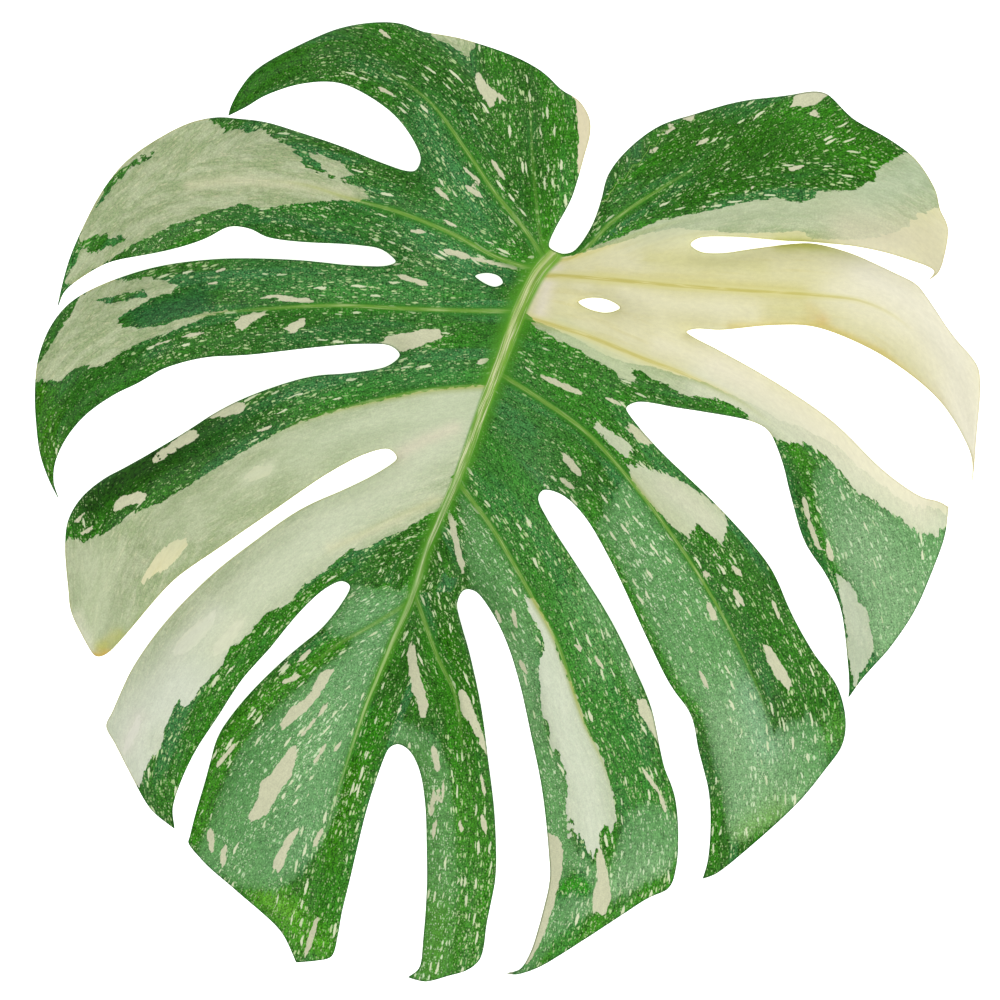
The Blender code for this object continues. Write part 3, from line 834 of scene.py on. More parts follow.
def patch_depth(patches, xy):
    """How deep each point lies in any of the patches, in metres; outside them it is negative."""
    depth = np.full(len(xy), -FAR)
    for outline in patches.values():
        loop = to_metres(outline)
        gap = line_gap(np.vstack([loop, loop[:1]]), xy)
        inside = crossings(loop, xy) % 2 == 1
        depth = np.maximum(depth, np.where(inside, gap, -gap))
    return depth


middle = to_metres([LEAF_MIDDLE])
print("silver sectors", len(SILVER_SHEEN_SECTORS), "and the nearest to the leaf's middle is",
      round(float(-patch_depth(SILVER_SHEEN_SECTORS, middle)[0] / MM), 1), "mm away")

# %% [markdown]
# Between the patches lie single strokes of cream, a millimetre or two wide, where one cell's
# offspring lost its green. Each is given by its two ends and its width, all in pixels.

# %% Draw the single cream strokes
CREAM_STROKES = [
    (445, 251, 470, 258, 6), (470, 258, 520, 269, 4), (650, 153, 657, 149, 5),
    (666, 133, 674, 129, 4), (683, 119, 695, 115, 5), (696, 146, 707, 140, 4),
    (789, 170, 802, 167, 5), (745, 193, 752, 188, 4), (703, 208, 711, 205, 3),
    (667, 133, 673, 126, 5), (688, 120, 694, 116, 5), (785, 186, 791, 183, 3),
    (813, 114, 818, 110, 5), (217, 272, 225, 270, 4), (209, 285, 218, 283, 4),
    (815, 115, 819, 116, 5), (328, 703, 319, 716, 4), (317, 717, 299, 739, 3),
    (210, 829, 211, 852, 7), (225, 846, 222, 868, 5), (235, 744, 217, 766, 4),
    (300, 676, 282, 682, 5), (310, 651, 298, 662, 5), (322, 829, 314, 846, 5),
    (326, 744, 313, 765, 3), (342, 740, 335, 750, 3), (317, 918, 305, 958, 5),
    (433, 746, 438, 771, 6), (434, 791, 431, 815, 4), (436, 820, 433, 838, 4),
    (444, 780, 442, 802, 3), (460, 821, 461, 831, 4), (481, 773, 485, 796, 3),
    (482, 815, 486, 833, 5), (513, 609, 516, 626, 5), (496, 610, 500, 622, 4),
    (520, 660, 526, 673, 5), (642, 768, 658, 791, 4), (660, 795, 666, 811, 4),
    (595, 656, 603, 668, 4), (574, 645, 583, 648, 4), (662, 704, 668, 716, 3),
    (700, 671, 708, 688, 4), (733, 589, 743, 605, 5), (733, 567, 741, 576, 6),
    (713, 554, 718, 559, 5), (703, 571, 709, 577, 5), (772, 600, 779, 618, 4),
    (803, 497, 808, 520, 5), (808, 520, 818, 548, 5), (827, 545, 832, 560, 6),
    (560, 478, 573, 488, 5), (541, 376, 584, 395, 5), (606, 398, 620, 405, 4),
    (449, 511, 463, 572, 6), (477, 363, 490, 359, 5), (398, 276, 428, 285, 5),
    (280, 298, 314, 302, 5), (412, 232, 426, 233, 4), (444, 221, 456, 227, 3),
    (466, 187, 482, 198, 5), (434, 187, 449, 201, 4), (492, 161, 504, 180, 4),
    (464, 169, 480, 183, 3), (497, 94, 506, 101, 4), (381, 31, 390, 39, 4), (377, 88, 392, 95, 4),
    (240, 200, 262, 196, 3), (153, 346, 172, 340, 2), (184, 337, 204, 333, 3),
    (262, 298, 280, 296, 3), (258, 431, 272, 427, 3), (74, 523, 84, 513, 3), (80, 534, 92, 527, 3),
]
STROKE_TAPER, STROKE_LEAST = 8, 0.3


def stroke_half(width, t):
    """Half a stroke's width in metres, at a share t of its length: a spindle."""
    return 0.5 * width * METRES_PER_PIXEL * np.clip(STROKE_TAPER * t * (1 - t), STROKE_LEAST, 1)


def stroke_depth(xy):
    """Like patch_depth, for the strokes."""
    out = np.full(len(xy), -FAR)
    for x0, y0, x1, y1, width in CREAM_STROKES:
        a, b = to_metres([(x0, y0), (x1, y1)])
        t = np.clip((xy - a) @ (b - a) / ((b - a) @ (b - a)), 0, 1)
        gap = np.linalg.norm(xy - a - t[:, None] * (b - a), axis=1)
        out = np.maximum(out, stroke_half(width, t) - gap)
    return out


print("strokes", len(CREAM_STROKES))

# %% [markdown]
# The blade is laid out flat first. Its points are the edge, two rows just inside the edge for
# the rolled margin, rows along each rib close enough to carry the thin lines, rows along the
# strokes, and an even grid between them. Each point keeps a least distance from the ones that
# are already there, so the finer rows push the grid aside.

# %% Lay out the blade's points
GRID_STEP, GRID_LEAST = 2.25 * MM, 0.62
EDGE_ROWS = {0.55 * MM: 0.45 * MM, 1.35 * MM: 0.7 * MM}
EDGE_ROW_SLACK = 0.9
RIB_STEP, RIB_LEAST, SIDE_RIB_START = 1.7 * MM, 0.38 * MM, 3 * MM
STROKE_STEP, STROKE_ROW_LEAST = 1.5 * MM, 0.5 * MM
ROWS_FROM_EDGE = 0.5 * MM
MIDRIB_ROWS = (0, 0.25, 0.5, 0.75, 1.0, 1.3)
SIDE_ROWS = (0, 0.45 * MM, 0.95 * MM, 1.7 * MM, 2.7 * MM)


class Layout:
    """Plan points that keep a least distance from the ones already placed."""

    def __init__(self):
        self.points = []
        self.cells = {}
        self.size = 1.0 * MM

    def add(self, point, least):
        reach = math.ceil(least / self.size)
        cx, cy = (int(math.floor(v / self.size)) for v in point)
        for x in range(cx - reach, cx + reach + 1):
            for y in range(cy - reach, cy + reach + 1):
                for other in self.cells.get((x, y), ()):
                    if math.dist(point, self.points[other]) < least:
                        return None
        self.cells.setdefault((cx, cy), []).append(len(self.points))
        self.points.append(tuple(point))
        return len(self.points) - 1


def edge_rows():
    """Points just inside the edge, in rows that follow it, with the distance they keep."""
    for inset, least in EDGE_ROWS.items():
        for loop in LOOPS:
            ahead = np.roll(loop, -1, axis=0) - np.roll(loop, 1, axis=0)
            ahead /= np.linalg.norm(ahead, axis=1)[:, None]
            normal = np.column_stack([-ahead[:, 1], ahead[:, 0]])
            row = np.vstack([loop + normal * inset, loop - normal * inset])
            row = row[inside_leaf(row)]
            yield row[nearest(EDGE_TREE, row) > EDGE_ROW_SLACK * inset], least


def both_sides(points, normals, rows):
    for row in rows:
        for sign in (-1, 1) if np.any(row) else (1,):
            yield points + normals * row * sign


def rib_rows():
    points, normals, share = MIDRIB_LINE.stations(0, RIB_STEP)
    half = MIDRIB_HALF_WIDTH * taper(share)[:, None]
    yield from both_sides(points, normals, [half * row for row in MIDRIB_ROWS])
    for line in SIDE_LINES:
        points, normals, _ = line.stations(SIDE_RIB_START, RIB_STEP)
        yield from both_sides(points, normals, SIDE_ROWS)


def stroke_rows():
    for x0, y0, x1, y1, width in CREAM_STROKES:
        a, b = to_metres([(x0, y0), (x1, y1)])
        length = np.linalg.norm(b - a)
        side = np.array([a[1] - b[1], b[0] - a[0]]) / length
        t = np.linspace(0, 1, max(2, round(length / STROKE_STEP)))[:, None]
        yield from (a + (b - a) * t + side * stroke_half(width, t) * row for row in (0, -1, 1))


def hex_grid(step):
    low, high = LOOPS[0].min(axis=0), LOOPS[0].max(axis=0)
    row_step = step * math.sqrt(3) / 2
    for row in range(int((high[1] - low[1]) / row_step) + 1):
        x = np.arange(low[0] + step / 2 * (row % 2), high[0], step)
        yield np.column_stack([x, np.full(len(x), low[1] + row * row_step)])


def lay_out():
    layout = Layout()
    ties = []
    for loop in LOOPS:
        marks = [layout.add(point, MERGE_GAP) for point in loop]
        ties += list(zip(marks, marks[1:] + marks[:1]))
    for row, least in edge_rows():
        for point in row:
            layout.add(point, least)
    for rows, least in ((rib_rows(), RIB_LEAST), (stroke_rows(), STROKE_ROW_LEAST)):
        row = np.vstack(list(rows))
        row = row[inside_leaf(row)]
        for point in row[nearest(EDGE_TREE, row) > ROWS_FROM_EDGE]:
            layout.add(point, least)
    grid = np.vstack(list(hex_grid(GRID_STEP)))
    for point in grid[inside_leaf(grid)]:
        layout.add(point, GRID_LEAST * GRID_STEP)
    return layout.points, ties


plan_points, edge_ties = lay_out()
print("laid out", len(plan_points), "points with", len(edge_ties), "ties along the edge")

# %% [markdown]
# A constrained Delaunay triangulation joins the points and keeps every tie as a side. It also
# fills the cuts and holes, so triangles whose middle is outside the leaf are dropped again.

# %% Join the points into triangles
CDT_ERROR = 1e-8


def triangulate(points, ties):
    flat, _, triangles, *_ = delaunay_2d_cdt(points, ties, [], 0, CDT_ERROR)
    flat = np.array([tuple(point) for point in flat])
    triangles = np.array(triangles)
    triangles = triangles[inside_leaf(flat[triangles].mean(axis=1))]
    used, triangles = np.unique(triangles, return_inverse=True)
    flat, triangles = flat[used], triangles.reshape(-1, 3)
    a, b, c = (flat[triangles[:, k]] for k in range(3))
    turn = (b[:, 0] - a[:, 0]) * (c[:, 1] - a[:, 1]) - (b[:, 1] - a[:, 1]) * (c[:, 0] - a[:, 0])
    triangles[turn < 0] = triangles[turn < 0][:, ::-1]
    return flat, triangles


PLAN, TRIANGLES = triangulate(plan_points, edge_ties)
print("plan points", len(PLAN), "triangles", len(TRIANGLES))

# %% [markdown]
# Now each plan point gets its heights. The lower face follows the upper one at the blade's
# thickness, which thins to half at the edge, and never goes below the table. On steep skin the
# upright distance between the faces is larger, so the blade stays as thick.

# %% Raise the blade
EDGE_THINNING, EDGE_THIN_REACH = 0.5, 3 * MM
STEEPEST = 1.6

SEEN = survey(PLAN)
TOP = base_height(PLAN, SEEN) + fine_relief(PLAN, SEEN)


def steepness(flat, triangles, height):
    """Length of the surface normal over its height, at each point, from its triangles."""
    a, b, c = (np.column_stack([flat, height])[triangles[:, k]] for k in range(3))
    normals = np.cross(b - a, c - a)
    total = np.zeros((len(flat), 3))
    for k in range(3):
        np.add.at(total, triangles[:, k], normals)
    return np.linalg.norm(total, axis=1) / total[:, 2]


thin = 1 - EDGE_THINNING * np.clip(1 - SEEN["edge"] / EDGE_THIN_REACH, 0, 1) ** 2
thickness = BLADE_THICKNESS * thin * np.minimum(steepness(PLAN, TRIANGLES, TOP), STEEPEST)
BOTTOM = np.maximum(TOP - thickness, 0)
TOP = np.maximum(TOP, BOTTOM + thickness)
print("blade from", round(BOTTOM.min() / MM, 2), "to", round(TOP.max() / MM, 2), "mm high")

# %% [markdown]
# The two faces are the plan's triangles at both heights, and a rim closes them. The rim has a
# middle row pushed outwards, so the thin edge is round and catches light.

# %% Build the blade's mesh
RIM_PUSH = 0.12 * MM
SHARPEST_RIM = 0.3
SMOOTH_TURN = math.radians(38)


def rim_edges(triangles):
    sides = set()
    for i, j, k in triangles.tolist():
        sides |= {(i, j), (j, k), (k, i)}
    return sorted((i, j) for i, j in sides if (j, i) not in sides)


def rim_push(flat, edges):
    """Each rim point's way out of the leaf, from the edges beside it."""
    out = np.zeros((len(flat), 2))
    for i, j in edges:
        ahead = flat[j] - flat[i]
        way = np.array([ahead[1], -ahead[0]]) / np.linalg.norm(ahead)
        out[i] += way
        out[j] += way
    length = np.linalg.norm(out, axis=1)
    return out / np.maximum(length, SHARPEST_RIM)[:, None]


def blade_mesh(name):
    """The mesh, which plan point each of its points comes from, and the upper face's count."""
    count = len(PLAN)
    edges = rim_edges(TRIANGLES)
    rim = sorted({i for edge in edges for i in edge})
    middle = {i: 2 * count + k for k, i in enumerate(rim)}
    out = PLAN[rim] + rim_push(PLAN, edges)[rim] * RIM_PUSH
    points = np.vstack([
        np.column_stack([PLAN, TOP]),
        np.column_stack([PLAN, BOTTOM]),
        np.column_stack([out, (TOP[rim] + BOTTOM[rim]) / 2]),
    ])
    upper = TRIANGLES.tolist()
    lower = [(i + count, k + count, j + count) for i, j, k in upper]
    wall = []
    for i, j in edges:
        wall += [(i, middle[i], middle[j]), (i, middle[j], j)]
        wall += [(middle[i], i + count, j + count), (middle[i], j + count, middle[j])]
    mesh = bpy.data.meshes.new(name)
    mesh.from_pydata(points.tolist(), [], upper + lower + wall)
    mesh.shade_smooth()
    mesh.set_sharp_from_angle(angle=SMOOTH_TURN)
    plan_of = np.concatenate([np.arange(count), np.arange(count), rim]).astype(int)
    return mesh, plan_of, len(upper)


blade, plan_of, upper_count = blade_mesh("leaf_blade")
print("blade triangles", len(blade.polygons))

# %% [markdown]
# The mesh carries what the paint needs. One UV map holds, for each triangle, how far along its
# nearest grain line and how far beside it each corner lies, so flecks and teeth can run along
# the veins. The lines are half a metre apart in it, so no two ribs share the same pattern. A
# second map does the same for the midrib alone.

# %% Map the veins onto the mesh
RIB_APART = 0.5


def add_uv(mesh, name, values):
    layer = mesh.uv_layers.new(name=name)
    layer.uv.foreach_set("vector", np.asarray(values, np.float32).ravel())


def add_vein_maps(mesh, plan_of):
    corners = np.empty(len(mesh.loops), np.int32)
    mesh.loops.foreach_get("vertex_index", corners)
    corners = plan_of[corners].reshape(-1, 3)
    mine = SEEN["flow_gaps"][:, corners].sum(axis=2).argmin(axis=0)[:, None]
    beside, along = SEEN["flow"][mine, corners, 0], SEEN["flow"][mine, corners, 1]
    add_uv(mesh, "veins", np.stack([along + mine * RIB_APART, beside], axis=-1))
    along = SEEN["share"][0] * MIDRIB_LINE.length
    add_uv(mesh, "midrib", np.column_stack([along, SEEN["beside"][0]])[corners])


add_vein_maps(blade, plan_of)
print("maps", [layer.name for layer in blade.uv_layers])

# %% [markdown]
# Attributes hold how deep each point lies in each kind of patch, and how steeply that depth
# changes along the vein: only where a border crosses the veins will it be torn into teeth.
# More of them hold the place along the ribs, and for each rib how clearly its pale line shows
# and up to which share of its length.

# %% Give the blade the depths of its patches
RIB_LINES = {
    "left lobe 1, upper rib": (0.30, 0.95),
    "left lobe 1, lower rib": (0.85, 0.65),
    "left lobe 2": (0.90, 0.55),
    "left lobe 3": (0.90, 0.62),
    "left lobe 4": (0.75, 0.45),
    "left lobe 5": (0.10, 0.40),
    "end lobe, left rib": (0.60, 0.42),
    "right lobe 1, upper rib": (0.80, 0.60),
    "right lobe 1, lower rib": (0.30, 0.40),
    "right lobe 2": (1.00, 0.72),
    "right lobe 3": (0.90, 0.50),
    "right lobe 4": (0.95, 0.85),
    "right lobe 5": (0.90, 0.75),
    "right lobe 6": (0.75, 0.45),
}
RIB_LINE_FADE = 0.25
LOOK_AHEAD = 0.5 * MM
DEEPEST = 20 * MM


def add_attribute(name, values):
    """Gives each point of the blade its plan point's number, or its colour of four numbers."""
    values = np.asarray(values, np.float32)[plan_of]
    kind, field = ("FLOAT", "value") if values.ndim == 1 else ("FLOAT_COLOR", "color")
    blade.attributes.new(name, kind, "POINT").data.foreach_set(field, values.ravel())


def depths(xy):
    islands = patch_depth(GREEN_ISLANDS, xy)
    return {
        "sage": np.minimum(patch_depth(SAGE_PATCHES, xy), -islands),
        "cream": patch_depth(CREAM_PATCHES, xy),
        "mark": np.maximum(patch_depth(PALE_MARKS, xy), stroke_depth(xy)),
        "silver_sheen": np.minimum(patch_depth(SILVER_SHEEN_SECTORS, xy), -islands),
    }


flow_rib = SEEN["flow_gaps"].argmin(axis=0)
rows = np.arange(len(PLAN))
heading = SEEN["flow"][flow_rib, rows, 2:]
depths_ahead = depths(PLAN + heading * LOOK_AHEAD)
for name, here in depths(PLAN).items():
    add_attribute(name, np.clip(here, -DEEPEST, DEEPEST))
    add_attribute(name + "_ahead", (depths_ahead[name] - here) / LOOK_AHEAD)
    print(name, "covers", round(float((here > 0).mean()), 2), "of the points")
share = SEEN["share"][flow_rib, rows]
strength, reach = np.array([(0, 1), *RIB_LINES.values()]).T[:, flow_rib]
add_attribute("edge", SEEN["edge"])
add_attribute("rib_share", share)
add_attribute("rib_line", strength * np.clip((reach - share) / RIB_LINE_FADE, 0, 1))
add_attribute("midrib_share", SEEN["share"][0])

# %% [markdown]
# Skin colours change softly over the leaf as well: some green is nearly black, and tips brown a
# little as they dry. Painted light is brushed in the same way: painted sheen on skin that leans
# towards the light, most on the lower lobes, and painted shade in olive and ochre, with some of the
# lobe's own tint, where the folded lobe turns down. Each stroke is soft: a colour, a radius, a
# strength, and the path of the brush. Each list is for one kind of skin: the green, the silver
# sectors, and the sage and cream.

# %% List the soft stains, painted sheen and painted shade
GREEN_STAINS_AND_SHEEN = [
    ("#2a5e1a", 60, 0.45, [(270, 75), (380, 60), (460, 90), (520, 150)]),
    ("#2c6a2c", 24, 0.50, [(240, 215), (330, 215), (400, 245)]),
    ("#2c6420", 40, 0.50, [(90, 400), (170, 345), (260, 335), (400, 345)]),
    ("#1b4406", 22, 0.95, [(90, 500), (120, 480), (160, 458), (205, 438)]),
    ("#235515", 20, 0.75, [(205, 438), (240, 425), (265, 420)]),
    ("#255a30", 13, 0.80, [(140, 316), (165, 310), (200, 300)]),
    ("#336f08", 20, 0.85, [(42, 395), (45, 440), (52, 480)]),
    ("#34800e", 18, 0.30, [(66, 290), (80, 262), (100, 246)]),
    ("#2f6e0e", 14, 0.60, [(240, 100), (262, 75), (300, 55)]),
    ("#2a630e", 40, 0.80, [(690, 150), (760, 140), (850, 150), (890, 165)]),
    ("#33800f", 20, 0.50, [(800, 115), (850, 150), (880, 165)]),
    ("#347d10", 20, 0.60, [(560, 110), (570, 180), (548, 235)]),
    ("#2c6c16", 30, 0.80, [(700, 560), (745, 620), (790, 670), (820, 690)]),
    ("#4e902e", 13, 0.70, [(826, 742), (838, 722)]),
    ("#2a7713", 24, 0.70, [(590, 690), (620, 760), (640, 800)]),
    ("#2b6c0a", 14, 0.85, [(446, 640), (470, 740), (478, 800), (476, 850)]),
    ("#3f8420", 22, 0.75, [(462, 800), (470, 860), (466, 930), (455, 960)]),
    ("#2f7a12", 16, 0.85, [(372, 720), (350, 800), (335, 860), (325, 950)]),
    ("#4c961c", 18, 0.75, [(275, 900), (295, 925), (318, 945)]),
    ("#62a02c", 10, 0.50, [(262, 896), (290, 912)]),
    ("#3f8a1e", 14, 0.60, [(545, 955), (600, 925), (655, 892)]),
    ("#37800e", 11, 0.80, [(335, 645), (290, 680), (240, 722), (213, 770), (197, 830)]),
    ("#347f18", 18, 0.60, [(330, 590), (260, 640), (215, 700), (175, 790)]),
    ("#2a6c36", 8, 0.65, [(778, 450), (790, 500), (805, 540), (835, 590), (846, 640)]),
    ("#40851c", 15, 0.55, [(800, 448), (830, 470)]),
    ("#2f8c0c", 9, 0.95, [(565, 888), (575, 883), (584, 888)]),
    ("#3a8028", 40, 0.55, [(540, 345), (600, 400), (700, 440)]),
    ("#3f8432", 34, 0.50, [(470, 470), (540, 560), (600, 700), (640, 800)]),
    ("#4a8646", 34, 0.45, [(500, 370), (520, 430), (560, 520)]),
    ("#3f8a22", 12, 0.70, [(590, 505), (615, 560), (660, 640), (695, 700)]),
    ("#5a9450", 16, 0.70, [(575, 600), (592, 645), (600, 670)]),
    ("#34760c", 15, 0.80, [(350, 770), (338, 820), (335, 860)]),
    # Painted sheen: blue-green strokes on the halves of upper lobes that lean towards the light.
    ("#4a8a50", 26, 0.45, [(425, 120), (450, 180), (480, 230)]),
    ("#4a8a50", 20, 0.45, [(420, 225), (460, 250), (480, 290)]),
    ("#4a8850", 24, 0.40, [(250, 275), (340, 280), (430, 290)]),
    ("#4a8850", 20, 0.40, [(300, 385), (380, 372), (450, 374)]),
]
# Painted sheen on the silver sectors: lighter strokes on the lower lobes, and a few darker ones.
SILVER_SHEEN_STROKES = [
    ("#84ac7a", 45, 0.90, [(860, 540), (890, 590), (880, 640)]),
    ("#84ac7a", 45, 0.80, [(735, 730), (758, 800), (740, 840)]),
    ("#86b088", 18, 0.70, [(750, 690), (760, 720), (766, 745)]),
    ("#7cab58", 18, 0.75, [(716, 858), (740, 842), (780, 815)]),
    ("#588f48", 22, 0.85, [(425, 760), (438, 860), (430, 900)]),
    ("#478620", 26, 0.85, [(440, 920), (436, 945), (430, 980)]),
    ("#76a470", 40, 0.50, [(370, 620), (330, 740), (300, 850)]),
    ("#74a26a", 26, 0.70, [(515, 630), (522, 660), (535, 720)]),
    ("#88b27c", 26, 0.60, [(600, 905), (650, 870)]),
    ("#5c9250", 30, 0.70, [(470, 510), (495, 560), (520, 620)]),
]
PALE_STAINS_SHADE_AND_SHEEN = [
    # The light sage strokes, most of them on the lower lobes, are painted sheen.
    ("#d0d7bb", 42, 0.90, [(455, 415), (400, 470), (330, 525), (250, 600), (180, 690)]),
    ("#d6dbca", 42, 0.90, [(180, 690), (130, 730), (140, 770)]),
    ("#c6d0b0", 26, 0.75, [(470, 400), (350, 428), (300, 450)]),
    ("#bec7a4", 30, 0.75, [(90, 560), (95, 600), (100, 630)]),
    ("#b8c39e", 26, 0.60, [(170, 525), (230, 490), (290, 455)]),
    ("#d4dabc", 22, 0.90, [(700, 388), (780, 425), (850, 475), (900, 512), (945, 528)]),
    ("#c2cfa4", 14, 0.80, [(560, 335), (610, 365), (660, 384)]),
    ("#d6ddc8", 34, 0.90, [(530, 610), (555, 690), (585, 780), (595, 850)]),
    ("#cbd3b4", 34, 0.85, [(600, 435), (650, 480), (710, 525)]),
    ("#d4d4ba", 13, 0.75, [(664, 486), (695, 505), (714, 530)]),
    ("#cbd0a8", 9, 0.60, [(634, 478), (655, 504), (684, 532)]),
    ("#cbd4bc", 22, 0.80, [(845, 590), (860, 630), (855, 680)]),
    ("#bcc7a4", 24, 0.75, [(640, 222), (690, 216), (750, 208), (850, 205)]),
    ("#b6c5a6", 30, 0.70, [(870, 200), (920, 170)]),
    ("#d2cf92", 10, 0.70, [(650, 258), (700, 264), (760, 268)]),
    # Painted shade, with some of the lobe's own olive and ochre, where the folded lobe's margins
    # turn down.
    ("#adb23c", 6, 0.85, [(778, 244), (800, 244), (830, 249), (862, 260)]),
    ("#c9b450", 5, 0.70, [(730, 327), (820, 326), (880, 352), (940, 402), (972, 465)]),
    ("#d6b068", 6, 0.45, [(808, 310), (822, 320)]),
    ("#cfc87c", 8, 0.75, [(600, 278), (660, 284), (740, 288), (800, 294)]),
    ("#d4cf92", 6, 0.70, [(735, 310), (790, 310), (815, 312)]),
    ("#e4e0bc", 13, 0.80, [(625, 296), (690, 308), (750, 312)]),
    ("#e6e2c4", 13, 0.70, [(660, 345), (700, 352), (760, 375)]),
    ("#e6e2ce", 34, 0.85, [(870, 272), (925, 310), (955, 360), (972, 440)]),
    ("#eae6ca", 14, 0.50, [(835, 292), (870, 300), (905, 320)]),
    ("#e6e1c8", 24, 0.75, [(720, 365), (800, 410), (860, 458), (920, 500)]),
    ("#cfcaac", 26, 0.80, [(850, 232), (930, 240), (938, 270)]),
    ("#d8cdb0", 14, 0.80, [(574, 95), (585, 125), (578, 175)]),
    ("#e4dcc6", 8, 0.90, [(556, 264), (547, 285), (540, 312)]),
    ("#dfd6c0", 7, 0.75, [(396, 456), (425, 440), (455, 428)]),
    ("#d9d6b2", 5, 0.60, [(330, 548), (380, 528), (436, 500)]),
    ("#d6dac4", 11, 0.80, [(175, 652), (195, 632), (216, 612)]),
    ("#d5d8bc", 8, 0.80, [(217, 650), (240, 622)]),
    ("#dad9ca", 8, 0.80, [(125, 748), (139, 717)]),
    ("#ccd2b2", 8, 0.80, [(246, 478), (270, 466)]),
    ("#d6d4b0", 6, 0.65, [(190, 186), (230, 181), (300, 186), (350, 195)]),
    ("#dcdcc4", 8, 0.70, [(74, 618), (84, 640), (92, 652)]),
    ("#bfbc5c", 7, 0.85, [(100, 648), (108, 644), (118, 636)]),
    ("#cfa83c", 3, 0.90, [(92, 655), (100, 656), (108, 651)]),
    ("#8fa070", 4, 0.45, [(110, 650), (180, 575), (300, 492), (370, 456)]),
]
print("painted_strokes", len(GREEN_STAINS_AND_SHEEN), len(SILVER_SHEEN_STROKES), len(PALE_STAINS_SHADE_AND_SHEEN))

# %% [markdown]
# The stains, the painted sheen and the painted shade are laid over each other in order, as thin
# paint is, and end as vertex colours with how much they cover. Quiet strokes have no colour: few
# specks grow where they lie.

# %% Brush the stains, painted sheen and painted shade
QUIET_STROKES = [
    (16, 1.0, [(130, 316), (165, 310), (195, 302)]),
    (40, 0.4, [(500, 330), (470, 400)]),
    (40, 0.4, [(560, 400), (520, 470)]),
    (20, 0.6, [(240, 100), (262, 75), (290, 60)]),
    (24, 0.7, [(100, 500), (150, 465), (205, 435)]),
    (40, 0.4, [(120, 380), (60, 400)]),
    (30, 0.2, [(640, 170), (720, 140), (800, 150)]),
]
LEAST_COVER = 1e-6


def linear(code):
    """A web colour as the linear numbers that shaders use."""
    parts = [int(code[k : k + 2], 16) / 255 for k in (1, 3, 5)]
    return [p / 12.92 if p < 0.04 else ((p + 0.055) / 1.055) ** 2.4 for p in parts]


def brush(radius, strength, path, xy):
    """How much one soft stroke covers each point: most on its path, less beside it."""
    return strength * bell(line_gap(to_metres(path), xy), radius * METRES_PER_PIXEL)


def brushed(painted_strokes, xy):
    """Strokes laid over each other: their colour at each point, and how much they cover."""
    colour = np.zeros((len(xy), 3))
    cover = np.zeros(len(xy))
    for code, *stroke in painted_strokes:
        fresh = brush(*stroke, xy)
        total = fresh + cover * (1 - fresh)
        share = (fresh / np.maximum(total, LEAST_COVER))[:, None]
        colour = colour * (1 - share) + np.array(linear(code)) * share
        cover = total
    return np.column_stack([colour, np.ones(len(xy))]), cover


# The green and pale lists hold stains with painted sheen and painted shade; the silver list is
# painted sheen.
STAINS_AND_PAINTED_LIGHT = {"green_stain_and_sheen": GREEN_STAINS_AND_SHEEN, "silver_sheen_paint": SILVER_SHEEN_STROKES, "pale_stain_shade_and_sheen": PALE_STAINS_SHADE_AND_SHEEN}
for name, painted_strokes in STAINS_AND_PAINTED_LIGHT.items():
    colour, cover = brushed(painted_strokes, PLAN)
    add_attribute(name, colour)
    add_attribute(name + "_cover", cover)
    print(name, "covers", round(float(cover.mean()), 2), "of the skin")
add_attribute("quiet", np.max([brush(*stroke, PLAN) for stroke in QUIET_STROKES], axis=0))

# %% [markdown]
# Paint and swept forms are both trees of nodes in Blender. These helpers add one node as a step:
# they set it up, join it to what earlier steps made or give it a constant, and hand back its
# output. So a tree reads from top to bottom, like any other code.

# %% Helpers for node trees and objects
def feed(tree, socket, value):
    if isinstance(value, bpy.types.NodeSocket):
        tree.links.new(value, socket)
    else:
        socket.default_value = value


def add_step(tree, kind, feeds=(), out=0, **settings):
    node = tree.nodes.new(kind)
    for key, value in settings.items():
        setattr(node, key, value)
    for socket, value in feeds.items() if isinstance(feeds, dict) else enumerate(feeds):
        feed(tree, node.inputs[socket], value)
    return node.outputs[out]


def add_object(name, data):
    thing = bpy.data.objects.new(name, data)
    bpy.context.scene.collection.objects.link(thing)
    return thing


# %% [markdown]
# A leaf's skin is painted as a recipe. Each line of it mixes, measures or shapes what earlier
# lines made, and the last one hands the results to the skin's shader. Colours are written as
# they look on a screen, and turned into the linear light that the shader mixes.

